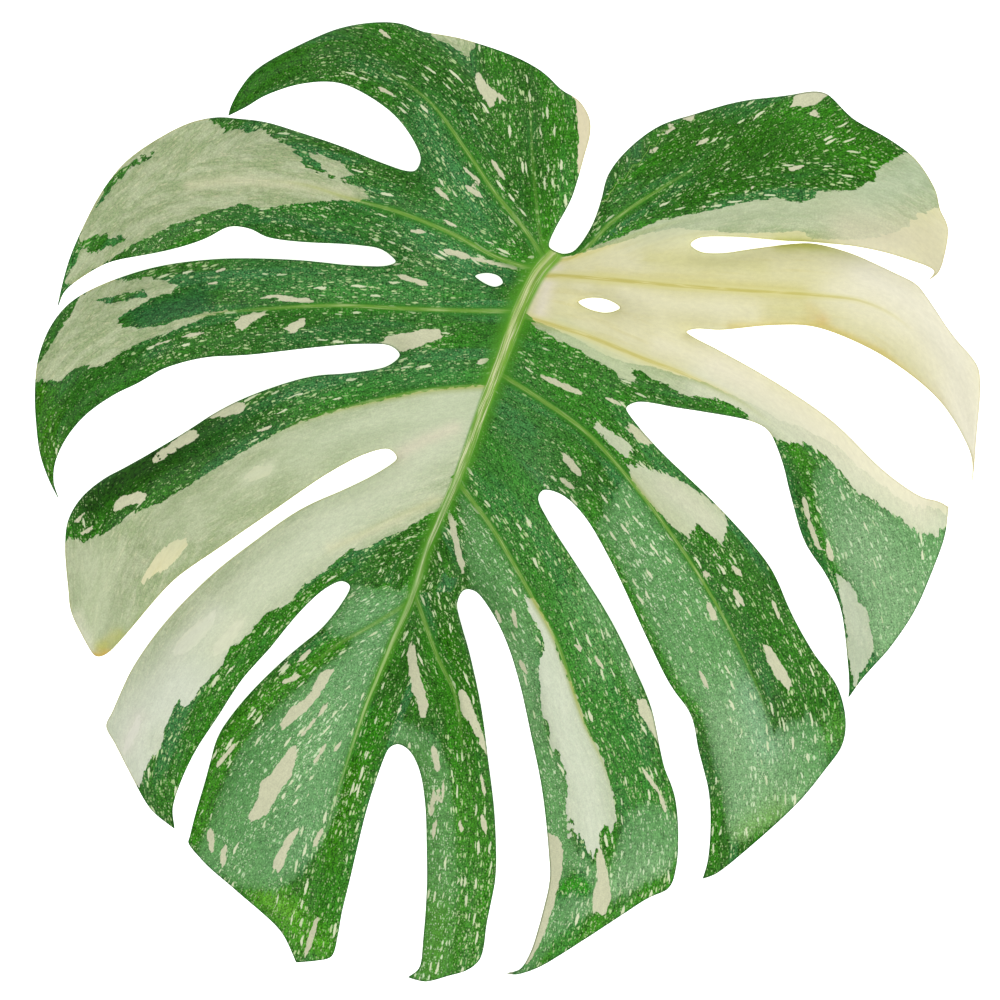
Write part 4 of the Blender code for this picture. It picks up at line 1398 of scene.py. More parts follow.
# %% A helper for shader recipes
class Recipe:
    """A material whose nodes are written step by step."""

    def __init__(self, name):
        self.material = bpy.data.materials.new(name)
        self.material.use_nodes = True
        self.tree = self.material.node_tree

    def step(self, kind, feeds=(), out=0, **settings):
        return add_step(self.tree, kind, feeds, out, **settings)

    def calc(self, operation, *feeds, clamp=False):
        return self.step("ShaderNodeMath", feeds, operation=operation, use_clamp=clamp)

    def times(self, a, b):
        return self.calc("MULTIPLY", a, b)

    def centred(self, value):
        """Noise has its middle at a half; this moves it to zero."""
        return self.calc("SUBTRACT", value, 0.5)

    def attribute(self, name, out="Fac"):
        return self.step("ShaderNodeAttribute", out=out, attribute_name=name)

    def scaled(self, vector, x, y, z=1.0):
        feeds = (vector, (1 / x, 1 / y, 1 / z))
        return self.step("ShaderNodeVectorMath", feeds, operation="MULTIPLY")

    def pushed(self, vector, noise_step, reach):
        """The place moved by a noise's colour, up to the reach along each of its axes."""
        feeds = (noise_step.node.outputs["Color"], reach, vector)
        return self.step("ShaderNodeVectorMath", feeds, operation="MULTIPLY_ADD")

    def noise(self, vector, *sizes, detail=2.0, rough=0.5):
        """Noise with blotches of those sizes: two of them for a flat map, three in space."""
        feeds = {"Vector": self.scaled(vector, *sizes), "Scale": 1.0}
        feeds |= {"Detail": detail, "Roughness": rough}
        return self.step("ShaderNodeTexNoise", feeds, noise_dimensions=f"{len(sizes)}D")

    def cells(self, vector, x, y, **settings):
        feeds = {"Vector": self.scaled(vector, x, y), "Scale": 1.0}
        return self.step("ShaderNodeTexVoronoi", feeds, voronoi_dimensions="2D", **settings)

    def between(self, value, low, high):
        """0 below the low value, 1 above the high one, and smooth between."""
        feeds = {"Value": value, "From Min": low, "From Max": high}
        return self.step("ShaderNodeMapRange", feeds, interpolation_type="SMOOTHSTEP")

    def mix(self, share, a, b):
        feeds = {0: share, 6: self.colour(a), 7: self.colour(b)}
        return self.step("ShaderNodeMix", feeds, out=2, data_type="RGBA")

    def colour(self, value):
        return (*linear(value), 1) if isinstance(value, str) else value

    def ramp(self, value, stops):
        node = self.step("ShaderNodeValToRGB", (value,), out="Color").node
        marks = node.color_ramp.elements
        while len(marks) < len(stops):
            marks.new(0.5)
        for mark, (at, code) in zip(marks, stops):
            mark.position = at
            mark.color = self.colour(code)
        return node.outputs["Color"]

    def bump(self, height, distance, strength):
        feeds = {"Height": height, "Distance": distance, "Strength": strength}
        return self.step("ShaderNodeBump", feeds, out="Normal")

    def finish(self, values):
        """Gives the skin's shader its values by their sockets' names."""
        shader = self.tree.nodes["Principled BSDF"]
        for name, value in values.items():
            feed(self.tree, shader.inputs[name], value)
        return self.material


print("half grey in linear light", [round(value, 3) for value in linear("#808080")])

# %% [markdown]
# Both faces of the leaf share the same pattern, because the pale sectors go right through. The
# patch depths are measured at the mesh's points; here a streaky noise that is long along the
# vein shifts them, which tears the patch ends into teeth and leaves the long sides nearly
# smooth. Dots, specks and dashes are cells of three Voronoi patterns stretched along the vein.
# Their map is bent a little so that no rows show, and they are fewer in the quiet strokes. Two
# finer noises, mottle and grain, make every colour lighter and darker.

# %% The pattern that both faces share
BEND_SIZES, BEND_REACH = (7 * MM, 4 * MM), (2.2 * MM, 1.4 * MM, 0.0)
TOOTH_SIZES, TOOTH_REACH = (14 * MM, 2.0 * MM), 9 * MM
RAG_SIZES, RAG_REACH = (3.2 * MM, 1.5 * MM), 3.0 * MM
WOBBLE_SIZES, WOBBLE_REACH = (1.0 * MM, 0.6 * MM), 0.35
MOTTLE_SIZES = (3.0 * MM, 1.3 * MM)
GRAIN_SIZES = (0.75 * MM, 0.55 * MM)
CROWD_SIZES, CROWD_GAIN, QUIET_LOSS = (45 * MM, 14 * MM), 0.30, -0.25
LEAST_GAIN = 0.3
SHARP, SOFT = 0.12 * MM, 1.3 * MM
BORDERS = {
    "sage": (0.75, 0.85, SHARP),
    "cream": (0.6, 0.6, SHARP),
    "mark": (0.35, 0.5, SHARP),
    "silver_sheen": (0.8, 1.0, SOFT),
}
FLECKS = {
    "dot": (1.05 * MM, 0.62 * MM, 0.55, 0.42, 0.16),
    "speck": (3.0 * MM, 0.95 * MM, 0.72, 0.38, 0.12),
    "dash": (7.2 * MM, 1.4 * MM, 0.85, 0.38, 0.06),
}


class Pattern:
    """Where the patches and flecks of the leaf are, as steps of one recipe."""

    def __init__(self, recipe):
        r = self.recipe = recipe
        self.place = r.step("ShaderNodeTexCoord", out="Object")
        self.veins = r.step("ShaderNodeUVMap", uv_map="veins")
        self.bent = r.pushed(self.veins, r.noise(self.veins, *BEND_SIZES), BEND_REACH)
        self.tooth = r.centred(r.noise(self.veins, *TOOTH_SIZES))
        self.rag = r.centred(r.noise(self.veins, *RAG_SIZES, detail=3.0, rough=0.6))
        self.wobble = r.times(r.centred(r.noise(self.veins, *WOBBLE_SIZES)), WOBBLE_REACH)
        self.mottle = r.centred(r.noise(self.veins, *MOTTLE_SIZES, detail=3.0, rough=0.6))
        self.grain = r.centred(r.noise(self.veins, *GRAIN_SIZES, detail=1.0))
        crowd = r.times(r.centred(r.noise(self.veins, *CROWD_SIZES)), CROWD_GAIN)
        self.crowd = r.calc("MULTIPLY_ADD", r.attribute("quiet"), QUIET_LOSS, crowd)
        self.patches = {name: self.torn(name, *border) for name, border in BORDERS.items()}
        self.flecks = {name: self.fleck(*shape) for name, shape in FLECKS.items()}

    def torn(self, name, tooth, rag, soft):
        """The patch with that name, its border moved by teeth and rags in those strengths."""
        r = self.recipe
        pull = r.times(r.attribute(name + "_ahead"), TOOTH_REACH * tooth)
        depth = r.calc("MULTIPLY_ADD", self.tooth, pull, r.attribute(name))
        depth = r.calc("MULTIPLY_ADD", self.rag, RAG_REACH * rag, depth)
        return r.between(depth, -soft, soft)

    def fleck(self, length, width, empty, reach, soft):
        """One spindle in each cell that isn't empty: where it covers, and how far it has grown."""
        r = self.recipe
        away = r.cells(self.bent, length, width)
        chance = r.step("ShaderNodeSeparateColor", (away.node.outputs["Color"],))
        grown = r.calc("SUBTRACT", r.calc("ADD", chance, self.crowd), empty)
        grown = r.calc("MINIMUM", r.calc("DIVIDE", grown, 1 - empty), 1.0)
        away = r.calc("ADD", away, self.wobble)
        inside = r.calc("SUBTRACT", r.times(grown, reach), away)
        return r.between(inside, -soft, soft), grown

    def grained(self, colour, mottle, grain):
        """The colour made lighter and darker by the blotches and the cells, in those strengths."""
        r = self.recipe
        gain = r.calc("MULTIPLY_ADD", self.mottle, mottle, 1.0)
        gain = r.calc("MULTIPLY_ADD", self.grain, grain, gain)
        colour = linear(colour) if isinstance(colour, str) else colour
        feeds = {0: colour, "Scale": r.calc("MAXIMUM", gain, LEAST_GAIN)}
        return r.step("ShaderNodeVectorMath", feeds, operation="SCALE")


print("kinds of patch", len(BORDERS), "and of fleck", len(FLECKS))

# %% [markdown]
# Real green here is a mosaic: dark where all cell layers are green, bluer in some sectors and
# yellower in others. The silver veil, partly paler cells and partly painted sheen, is thin at its
# border and thicker inside. On top lie the flecks, and the further one has grown, the paler it
# is; on the silver they are paler still, partly as painted glints.

# %% Mix the greens
CLOUDED = (0.35, 0.65)
GREENS, BLUER, YELLOWER = ("#2b6216", "#386f27"), "#37713a", "#33781a"
SILVER_SHEEN_GREENS = ("#5a9152", "#669b5c")
GREEN_CLOUD = 30 * MM
SECTOR_SIZES = (60 * MM, 9 * MM)
VEIL_DEPTH, VEIL_THIN, VEIL_MORE = 6 * MM, 0.60, 0.35
FLECK_COLOURS = {
    "dot": (0.60, ("#4c8628", "#bed698"), ("#7fb070", "#d0e4bc")),
    "speck": (0.90, ("#4c8628", "#bed698"), ("#7fb070", "#d0e4bc")),
    "dash": (0.95, ("#9cc080", "#d6deb8"), ("#9cc080", "#d6deb8")),
}


def overpainted(r, colour, name):
    return r.mix(r.attribute(name + "_cover"), colour, r.attribute(name, "Color"))


def green_layer(r, pattern):
    sectors = r.noise(pattern.veins, *SECTOR_SIZES)
    clouds = r.noise(pattern.place, GREEN_CLOUD, GREEN_CLOUD, GREEN_CLOUD)
    clouds = r.between(clouds, *CLOUDED)
    green = r.mix(clouds, *GREENS)
    green = r.mix(r.between(sectors, 0.52, 0.68), green, BLUER)
    green = r.mix(r.between(sectors, 0.46, 0.34), green, YELLOWER)
    # The green strokes bring tone and painted sheen.
    green = pattern.grained(overpainted(r, green, "green_stain_and_sheen"), 2.0, 2.2)
    # Painted sheen: the silver veil lightens the green, with some paler cells.
    silver_sheen = overpainted(r, r.mix(clouds, *SILVER_SHEEN_GREENS), "silver_sheen_paint")
    silver_sheen = pattern.grained(silver_sheen, 1.1, 1.4)
    deep = r.between(r.attribute("silver_sheen"), 0.0, VEIL_DEPTH)
    veil = r.calc("MULTIPLY_ADD", deep, VEIL_MORE, VEIL_THIN)
    veil = r.times(pattern.patches["silver_sheen"], veil)
    green = r.mix(veil, green, silver_sheen)
    for name, (strength, on_green, on_silver) in FLECK_COLOURS.items():
        cover, grown = pattern.flecks[name]
        pale = r.mix(veil, r.mix(grown, *on_green), r.mix(grown, *on_silver))
        green = r.mix(r.times(cover, strength), green, pale)
    return green


print("fleck colours", len(FLECK_COLOURS))

# %% [markdown]
# Sage is cloudy, with a fine net of greener lines where the cells meet and streaks along the
# veins. Cream is nearly even, with a few yellower streaks. Both take the pale strokes: stains,
# painted sheen on the lower lobes' sage, and painted shade where the folded lobe turns down.

# %% Mix the sage and the cream
SAGES, SAGE_NET, SAGE_NET_SIZES = ("#9eac80", "#b2bc96"), "#869f6c", (2.4 * MM, 1.5 * MM)
SAGE_LIGHT, SAGE_GREEN = "#cfcea6", "#86a06c"
SAGE_STREAK_SIZES, SAGE_CLOUD_SIZES = (5 * MM, 0.8 * MM), (18 * MM, 5 * MM)
CREAMS, CREAM_YELLOW = ("#d8d4a4", "#dedab2"), "#d3cb8e"
CREAM_STREAK_SIZES, CREAM_CLOUD = (25 * MM, 2.5 * MM), 40 * MM
STAIN_AND_SHEEN_ON_SAGE = 0.85


def sage_layer(r, pattern):
    streak = r.noise(pattern.veins, *SAGE_STREAK_SIZES, detail=3.0)
    clouds = r.noise(pattern.veins, *SAGE_CLOUD_SIZES, detail=3.0, rough=0.6)
    net = r.cells(pattern.veins, *SAGE_NET_SIZES, feature="DISTANCE_TO_EDGE")
    sage = r.mix(r.between(clouds, *CLOUDED), *SAGES)
    lines = r.times(r.between(net, 0.16, 0.0), r.between(clouds, 0.65, 0.40))
    sage = r.mix(r.times(lines, 0.70), sage, SAGE_NET)
    sage = r.mix(r.times(r.between(streak, 0.55, 0.75), 0.50), sage, SAGE_LIGHT)
    sage = r.mix(r.times(r.between(streak, 0.42, 0.22), 0.35), sage, SAGE_GREEN)
    sage = pattern.grained(sage, 0.55, 0.55)
    # Pale strokes: stains, and painted sheen on the lower lobes' sage.
    pale = pattern.grained(r.attribute("pale_stain_shade_and_sheen", "Color"), 0.20, 0.15)
    return r.mix(r.times(r.attribute("pale_stain_shade_and_sheen_cover"), STAIN_AND_SHEEN_ON_SAGE), sage, pale)


def cream_layer(r, pattern):
    streak = r.noise(pattern.veins, *CREAM_STREAK_SIZES)
    clouds = r.noise(pattern.place, CREAM_CLOUD, CREAM_CLOUD, CREAM_CLOUD)
    cream = r.mix(r.between(clouds, *CLOUDED), *CREAMS)
    cream = r.mix(r.times(r.between(streak, 0.5, 0.75), 0.35), cream, CREAM_YELLOW)
    # Pale strokes: stains, and painted shade where the folded lobe turns down.
    return pattern.grained(overpainted(r, cream, "pale_stain_shade_and_sheen"), 0.18, 0.05)


print("sage from", *SAGES, "and cream from", *CREAMS)

# %% [markdown]
# A thin line shows over each side rib, with a soft halo. It is yellow-green in the green and
# ochre where it runs through cream, so each of its colours is a pair, for green and pale skin.
# It narrows towards the rib's tip, as the rib does.

# %% Draw the lines over the side ribs
RIB_COLOURS, RIB_LIGHTS = ("#6f9c3c", "#c4bb66"), ("#a8c078", "#dcd594")
RIB_HALOS = ("#347a1c", "#d8d394")
RIB_NARROWING = -0.7
RIB_STREAK_SIZES = (12 * MM, 0.35 * MM)
RIB_HALO_REACH, RIB_HALO_STRENGTH = (3.4 * MM, 0.8 * MM), 0.75
RIB_LINE_REACH, RIB_LINE_STRENGTH = (1.35 * MM, 0.30 * MM), 0.9


def ribs_layer(r, pattern, skin):
    across = r.step("ShaderNodeSeparateXYZ", (pattern.veins,), out="Y")
    seen = r.attribute("rib_line")
    size = r.calc("MULTIPLY_ADD", r.attribute("rib_share"), RIB_NARROWING, 1.0)
    reach = r.calc("DIVIDE", r.calc("ABSOLUTE", across), size)
    streak = r.noise(pattern.veins, *RIB_STREAK_SIZES)
    pale = r.calc("MAXIMUM", pattern.patches["cream"], r.times(pattern.patches["sage"], 0.5))
    line = r.mix(pale, *RIB_COLOURS)
    line = r.mix(r.between(streak, 0.48, 0.72), line, r.mix(pale, *RIB_LIGHTS))
    wide = r.times(r.between(reach, *RIB_HALO_REACH), RIB_HALO_STRENGTH)
    skin = r.mix(r.times(wide, seen), skin, r.mix(pale, *RIB_HALOS))
    narrow = r.times(r.between(reach, *RIB_LINE_REACH), RIB_LINE_STRENGTH)
    return r.mix(r.times(narrow, seen), skin, line)


print("rib line", round(2 * RIB_LINE_REACH[0] / MM, 1), "mm wide at a rib's root")

# %% [markdown]
# The midrib carries pale and green bands side by side from its left edge to its right, as the
# sectors of its cells run on into the stalk. They wander a little, and thin streaks run through
# them. The bands fade into the green towards the tip.

# %% Draw the bands of the midrib
STALK_BANDS = (
    (0.14, "#5f9a2c"), (0.26, "#80aa48"), (0.36, "#a6bc6c"), (0.42, "#c0ca90"),
    (0.50, "#94b656"), (0.62, "#86b248"), (0.74, "#78ac3c"), (0.86, "#6aa432"),
)
TIP_BANDS = (
    (0.14, "#4e8c22"), (0.30, "#6fa048"), (0.44, "#94b672"), (0.54, "#88ae62"),
    (0.70, "#6f9f44"), (0.86, "#4e8c22"),
)
BAND_MIDDLE, BAND_STREAK, BAND_DARK, BAND_HALO = "#a4c474", "#dadcb0", "#6f9440", "#4f9024"
WANDER_SIZES, WANDER_REACH = (25 * MM, 2.5 * MM), 0.8
DRIFT_SIZES, DRIFT_REACH = (18 * MM, 3 * MM), (0, 1.2 * MM, 0)
BAND_STREAK_SIZES = (16 * MM, 0.34 * MM)


def midrib_bands(r, place, share, across):
    """The colour of the midrib, from how far across it lies: -1 at its left edge, 1 at its right."""
    wander = r.centred(r.noise(place, *WANDER_SIZES, detail=3.0))
    across = r.calc("ADD", across, r.times(wander, WANDER_REACH))
    at = r.calc("MULTIPLY_ADD", across, 0.4, 0.5, clamp=True)
    bands = r.mix(r.between(share, 0.15, 0.40), r.ramp(at, STALK_BANDS), r.ramp(at, TIP_BANDS))
    far = r.calc("ABSOLUTE", across)
    middle = r.times(r.between(share, 0.45, 0.65), r.between(far, 0.9, 0.3))
    bands = r.mix(r.times(middle, 0.75), bands, BAND_MIDDLE)
    drifted = r.pushed(place, r.noise(place, *DRIFT_SIZES), DRIFT_REACH)
    streak = r.noise(drifted, *BAND_STREAK_SIZES, detail=3.0)
    inner = r.between(far, 1.1, 0.5)
    strong = r.times(r.between(share, 0.55, 0.25), r.between(share, -0.05, 0.16))
    strong = r.times(inner, r.calc("MULTIPLY_ADD", strong, 0.60, 0.30))
    bands = r.mix(r.times(r.between(streak, 0.53, 0.63), strong), bands, BAND_STREAK)
    return r.mix(r.times(r.between(streak, 0.45, 0.35), strong), bands, BAND_DARK)


def midrib_layer(r, pattern, skin):
    place = r.step("ShaderNodeUVMap", uv_map="midrib")
    share = r.attribute("midrib_share")
    half = r.calc("POWER", r.calc("SUBTRACT", 1.02, share), 1.5)
    across = r.step("ShaderNodeSeparateXYZ", (place,), out="Y")
    across = r.calc("DIVIDE", across, r.times(half, MIDRIB_HALF_WIDTH))
    far = r.calc("ABSOLUTE", across)
    seen = r.between(share, 0.90, 0.55)
    pale = r.calc("MAXIMUM", pattern.patches["cream"], pattern.patches["sage"])
    green = r.calc("MULTIPLY_ADD", pale, -0.75, 0.75)
    halo = r.times(r.between(far, 3.0, 0.9), r.times(seen, green))
    skin = r.mix(halo, skin, BAND_HALO)
    here = r.times(r.between(far, 1.30, 0.65), seen)
    return r.mix(here, skin, midrib_bands(r, place, share, across))


print("bands at the stalk end", len(STALK_BANDS), "and at the tip", len(TIP_BANDS))

# %% [markdown]
# The layers come together here, the later over the earlier. A thin line along the cut edges is
# dark in the green and tan in the pale skin. The waxy upper skin has a satin gloss with fine
# cell grain, which the bump brings in. The underside has the same pattern, but is paler and
# duller, and its flecks are fainter.

# %% Put both skins together
MARK = "#c9caa9"
EDGE_COLOURS, EDGE_REACH = ("#174a1a", "#a89c62"), (0.65 * MM, 0.10 * MM)
BUMP_STREAK_SIZES, BUMP_GRAIN, BUMP_HEIGHT = (12 * MM, 1.8 * MM), 0.35, 0.12 * MM
UNDER_GREENS, UNDER_CLOUD = ("#5f9455", "#77a768"), 25 * MM
UNDER_PATCHES = {"mark": "#ccd3ac", "sage": "#bcc9a4", "cream": "#e2dcb8"}
UNDER_FLECKS = {"speck": (0.5, "#a9c594"), "dash": (0.7, "#ccd3ac")}


def edge_layer(r, pattern, skin):
    pale = r.calc("MAXIMUM", pattern.patches["cream"], pattern.patches["sage"])
    close = r.between(r.attribute("edge"), *EDGE_REACH)
    seen = r.calc("MULTIPLY_ADD", pale, -0.25, 0.60)
    return r.mix(r.times(close, seen), skin, r.mix(pale, *EDGE_COLOURS))


def leaf_bump(r, pattern, size, strength):
    grain = r.times(r.noise(pattern.place, size, size, size), BUMP_GRAIN)
    height = r.calc("ADD", grain, r.noise(pattern.veins, *BUMP_STREAK_SIZES))
    return r.bump(height, BUMP_HEIGHT, strength)


def upper_skin():
    r = Recipe("upper_skin")
    pattern = Pattern(r)
    patches = pattern.patches
    skin = green_layer(r, pattern)
    skin = r.mix(patches["mark"], skin, pattern.grained(MARK, 0.25, 0.30))
    skin = r.mix(patches["sage"], skin, sage_layer(r, pattern))
    skin = r.mix(patches["cream"], skin, cream_layer(r, pattern))
    for layer in (ribs_layer, midrib_layer, edge_layer):
        skin = layer(r, pattern, skin)
    return r.finish({
        "Base Color": skin,
        "Roughness": r.calc("MULTIPLY_ADD", patches["cream"], 0.08, 0.40),
        "Specular IOR Level": 0.07,
        "Normal": leaf_bump(r, pattern, 0.8 * MM, 0.5),
    })


def lower_skin():
    r = Recipe("lower_skin")
    pattern = Pattern(r)
    clouds = r.noise(pattern.place, UNDER_CLOUD, UNDER_CLOUD, UNDER_CLOUD, detail=3.0)
    skin = r.mix(r.between(clouds, 0.3, 0.7), *UNDER_GREENS)
    for name, (strength, colour) in UNDER_FLECKS.items():
        skin = r.mix(r.times(pattern.flecks[name][0], strength), skin, colour)
    for name, colour in UNDER_PATCHES.items():
        skin = r.mix(pattern.patches[name], skin, colour)
    bump = leaf_bump(r, pattern, 0.6 * MM, 0.7)
    return r.finish({"Base Color": skin, "Roughness": 0.62, "Normal": bump})


SKINS = (upper_skin(), lower_skin())
print("skins with", [len(skin.node_tree.nodes) for skin in SKINS], "nodes")

# %% [markdown]
# The blade wears the upper skin on its upper face and rim, and the lower skin below. Every
# finished piece rides on the root and takes the place of the model's leaf.

# %% Dress the blade
def finish_piece(mesh):
    piece = add_object(mesh.name, mesh)
    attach(piece, "root")
    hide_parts("leaf")
    print("piece", piece.name, "with", len(mesh.polygons), "faces")


for skin in SKINS:
    blade.materials.append(skin)
which = np.zeros(len(blade.polygons), np.int32)
which[upper_count : 2 * upper_count] = 1
blade.polygons.foreach_set("material_index", which)
finish_piece(blade)

# %% [markdown]
# The ribs beneath are thick half-round cords grown to the blade, widest at the root. They all
# follow a path with one rule, so Geometry Nodes sweep them: a half-round profile runs along
# each rib's line and shrinks with a size that every point carries. Whatever would go below the
# table is pressed flat on it, as the soft keel of a real leaf is by its own weight.

# %% Build the tree that sweeps a rib
PROFILE_ABOVE = 0.08


def sweep_tree():
    tree = bpy.data.node_groups.new("sweep_rib", "GeometryNodeTree")
    inputs = (
        ("Lines", "NodeSocketGeometry", None),
        ("Half width", "NodeSocketFloat", 1.9 * MM),
        ("Depth for width", "NodeSocketFloat", 0.9),
        ("Sides", "NodeSocketInt", 12),
        ("Table", "NodeSocketFloat", 0.0),
        ("Skin", "NodeSocketMaterial", None),
    )
    for name, kind, value in inputs:
        socket = tree.interface.new_socket(name, in_out="INPUT", socket_type=kind)
        if value is not None:
            socket.default_value = value
    tree.interface.new_socket("Ribs", in_out="OUTPUT", socket_type="NodeSocketGeometry")
    given = tree.nodes.new("NodeGroupInput").outputs

    def step(kind, feeds=(), **settings):
        return add_step(tree, kind, feeds, **settings)

    def calc(operation, a, b):
        return step("ShaderNodeMath", (a, b), operation=operation)

    size = step("GeometryNodeInputNamedAttribute", {"Name": "size"}, data_type="FLOAT")
    radius = calc("MULTIPLY", size, given["Half width"])
    lines = step("GeometryNodeMeshToCurve", {"Mesh": given["Lines"]})
    lines = step("GeometryNodeSetCurveNormal", {"Curve": lines}, mode="Z_UP")
    ring = step("GeometryNodeCurvePrimitiveCircle", {"Resolution": given["Sides"], "Radius": 1.0})
    place = step("GeometryNodeInputPosition")
    x, y, _ = step("ShaderNodeSeparateXYZ", (place,)).node.outputs
    deep = calc("MAXIMUM", calc("MULTIPLY", y, -1.0), -PROFILE_ABOVE)
    half_round = step("ShaderNodeCombineXYZ", (x, calc("MULTIPLY", deep, given["Depth for width"])))
    ring = step("GeometryNodeSetPosition", {"Geometry": ring, "Position": half_round})
    ribs = step(
        "GeometryNodeCurveToMesh",
        {"Curve": lines, "Profile Curve": ring, "Scale": radius, "Fill Caps": True},
    )
    x, y, z = step("ShaderNodeSeparateXYZ", (place,)).node.outputs
    pressed = step("ShaderNodeCombineXYZ", (x, y, calc("MAXIMUM", z, given["Table"])))
    ribs = step("GeometryNodeSetPosition", {"Geometry": ribs, "Position": pressed})
    ribs = step("GeometryNodeSetShadeSmooth", {"Geometry": ribs})
    ribs = step("GeometryNodeRealizeInstances", {"Geometry": ribs})
    ribs = step("GeometryNodeSetMaterial", {"Geometry": ribs, "Material": given["Skin"]})
    feed(tree, tree.nodes.new("NodeGroupOutput").inputs[0], ribs)
    return tree


SWEEP = sweep_tree()
print("sweep tree", len(SWEEP.nodes), "nodes")

# %% [markdown]
# A line to sweep is a chain of points in a mesh, with the rib's size at each point. The modifier
# gets its inputs by their identifiers before it is first evaluated, and the result is kept as a
# plain mesh.

# %% Sweep chains of points
def chain_mesh(name, chains):
    """Chains of points, each a pair of places in metres and sizes, as one mesh of edges."""
    points, sizes, edges = [], [], []
    for places, size in chains:
        edges += [(len(points) + k, len(points) + k + 1) for k in range(len(places) - 1)]
        points.extend(places.tolist())
        sizes.extend(size.tolist())
    mesh = bpy.data.meshes.new(name)
    mesh.from_pydata(points, edges, [])
    mesh.attributes.new("size", "FLOAT", "POINT").data.foreach_set("value", sizes)
    return mesh


def sweep(name, chains, settings):
    """Runs the sweep on the chains and returns the result as a plain mesh."""
    holder = add_object(name + "_lines", chain_mesh(name + "_lines", chains))
    modifier = holder.modifiers.new("sweep", "NODES")
    modifier.node_group = SWEEP
    for item in SWEEP.interface.items_tree:
        if item.name in settings:
            modifier[item.identifier] = settings[item.name]
    ready = holder.evaluated_get(bpy.context.evaluated_depsgraph_get())
    mesh = bpy.data.meshes.new_from_object(ready)
    holder.modifiers.clear()
    bpy.data.objects.remove(holder)
    mesh.name = name
    return mesh


print("inputs", [item.name for item in SWEEP.interface.items_tree if item.in_out == "INPUT"])

# %% [markdown]
# Rib flesh is smoother than the blade and pale yellow-green, with fine long streaks.

# %% Paint the ribs
RIB_GREENS, RIB_DARK = ("#9dbb66", "#b9cb86"), "#86a952"
RIB_STREAK, RIB_CLOUD, RIB_BUMP = 3 * MM, 45 * MM, 0.15 * MM


def rib_skin():
    r = Recipe("rib_skin")
    place = r.step("ShaderNodeTexCoord", out="Object")
    streak = r.noise(place, RIB_STREAK, RIB_STREAK, RIB_STREAK, detail=4.0, rough=0.6)
    clouds = r.noise(place, RIB_CLOUD, RIB_CLOUD, RIB_CLOUD)
    skin = r.mix(r.between(clouds, 0.4, 0.6), *RIB_GREENS)
    skin = r.mix(r.times(r.between(streak, 0.5, 0.7), 0.4), skin, RIB_DARK)
    bump = r.bump(streak, RIB_BUMP, 0.5)
    return r.finish({"Base Color": skin, "Roughness": 0.45, "Normal": bump})


RIB_SKIN = rib_skin()
print("rib skin with", len(RIB_SKIN.node_tree.nodes), "nodes")

# %% [markdown]
# The ribs' lines lie on the blade's lower face, whose height is asked of the same formula as
# before. A thick rib could come through the thin blade where it bends sharply, so the points of
# the swept ribs are pressed down to a third of the blade's thickness over its lower face.

# %% Sweep the ribs beneath
RIB_CHAIN_STEP, RIB_CHAIN_CLEAR, RIB_ROOT_SHARE = 2.0 * MM, 1.0 * MM, 0.05
MIDRIB_START, SIDE_START = 0.6 * MM, 3.5 * MM


def blade_underside(xy):
    seen = survey(xy)
    return base_height(xy, seen) + fine_relief(xy, seen) - BLADE_THICKNESS


def rib_chain(line, start):
    points, _, share = line.stations(start, RIB_CHAIN_STEP)
    clear = inside_leaf(points) & (nearest(EDGE_TREE, points) > RIB_CHAIN_CLEAR)
    clear |= share < RIB_ROOT_SHARE
    points, share = points[clear], share[clear]
    return np.column_stack([points, blade_underside(points)]), taper(share)


midrib = sweep(
    "leaf_midrib", [rib_chain(MIDRIB_LINE, MIDRIB_START)],
    {"Half width": MIDRIB_HALF_WIDTH, "Depth for width": 1.35, "Sides": 20, "Skin": RIB_SKIN},
)
side_ribs = sweep(
    "leaf_side_ribs", [rib_chain(line, SIDE_START) for line in SIDE_LINES],
    {"Half width": 1.6 * MM, "Depth for width": 1.05, "Sides": 14, "Skin": RIB_SKIN},
)
for mesh in (midrib, side_ribs):
    places = np.array([vertex.co for vertex in mesh.vertices])
    highest = np.maximum(blade_underside(places[:, :2]) + BLADE_THICKNESS / 3, 0)
    print(mesh.name, int((places[:, 2] > highest).sum()), "points pressed under the skin")
    places[:, 2] = np.minimum(places[:, 2], highest)
    mesh.vertices.foreach_set("co", places.ravel())
    finish_piece(mesh)

# %% [markdown]
# Finer veins leave the grain's lines at even steps, lean towards the tip and fade before the
# edge. The pillows of the upper skin follow the same lines by the same rule, so both faces
# agree. Under a real leaf they stand out less than half a millimetre, so they are flat cords,
# swept by the same tree as the ribs.

# %% Sweep the fine veins beneath
FINE_VEIN_HALF_WIDTH = 0.42 * MM
VEIN_FROM, VEIN_TO, VEIN_STEP = 0.3 * MM, 60 * MM, 2.5 * MM
VEIN_CLEAR, VEIN_LEAST_POINTS = 2.2 * MM, 3
VEIN_END_SIZE, VEIN_SIZE_AT_ROOT, VEIN_SIZE_LEAST = 0.35, 1.2, 0.3


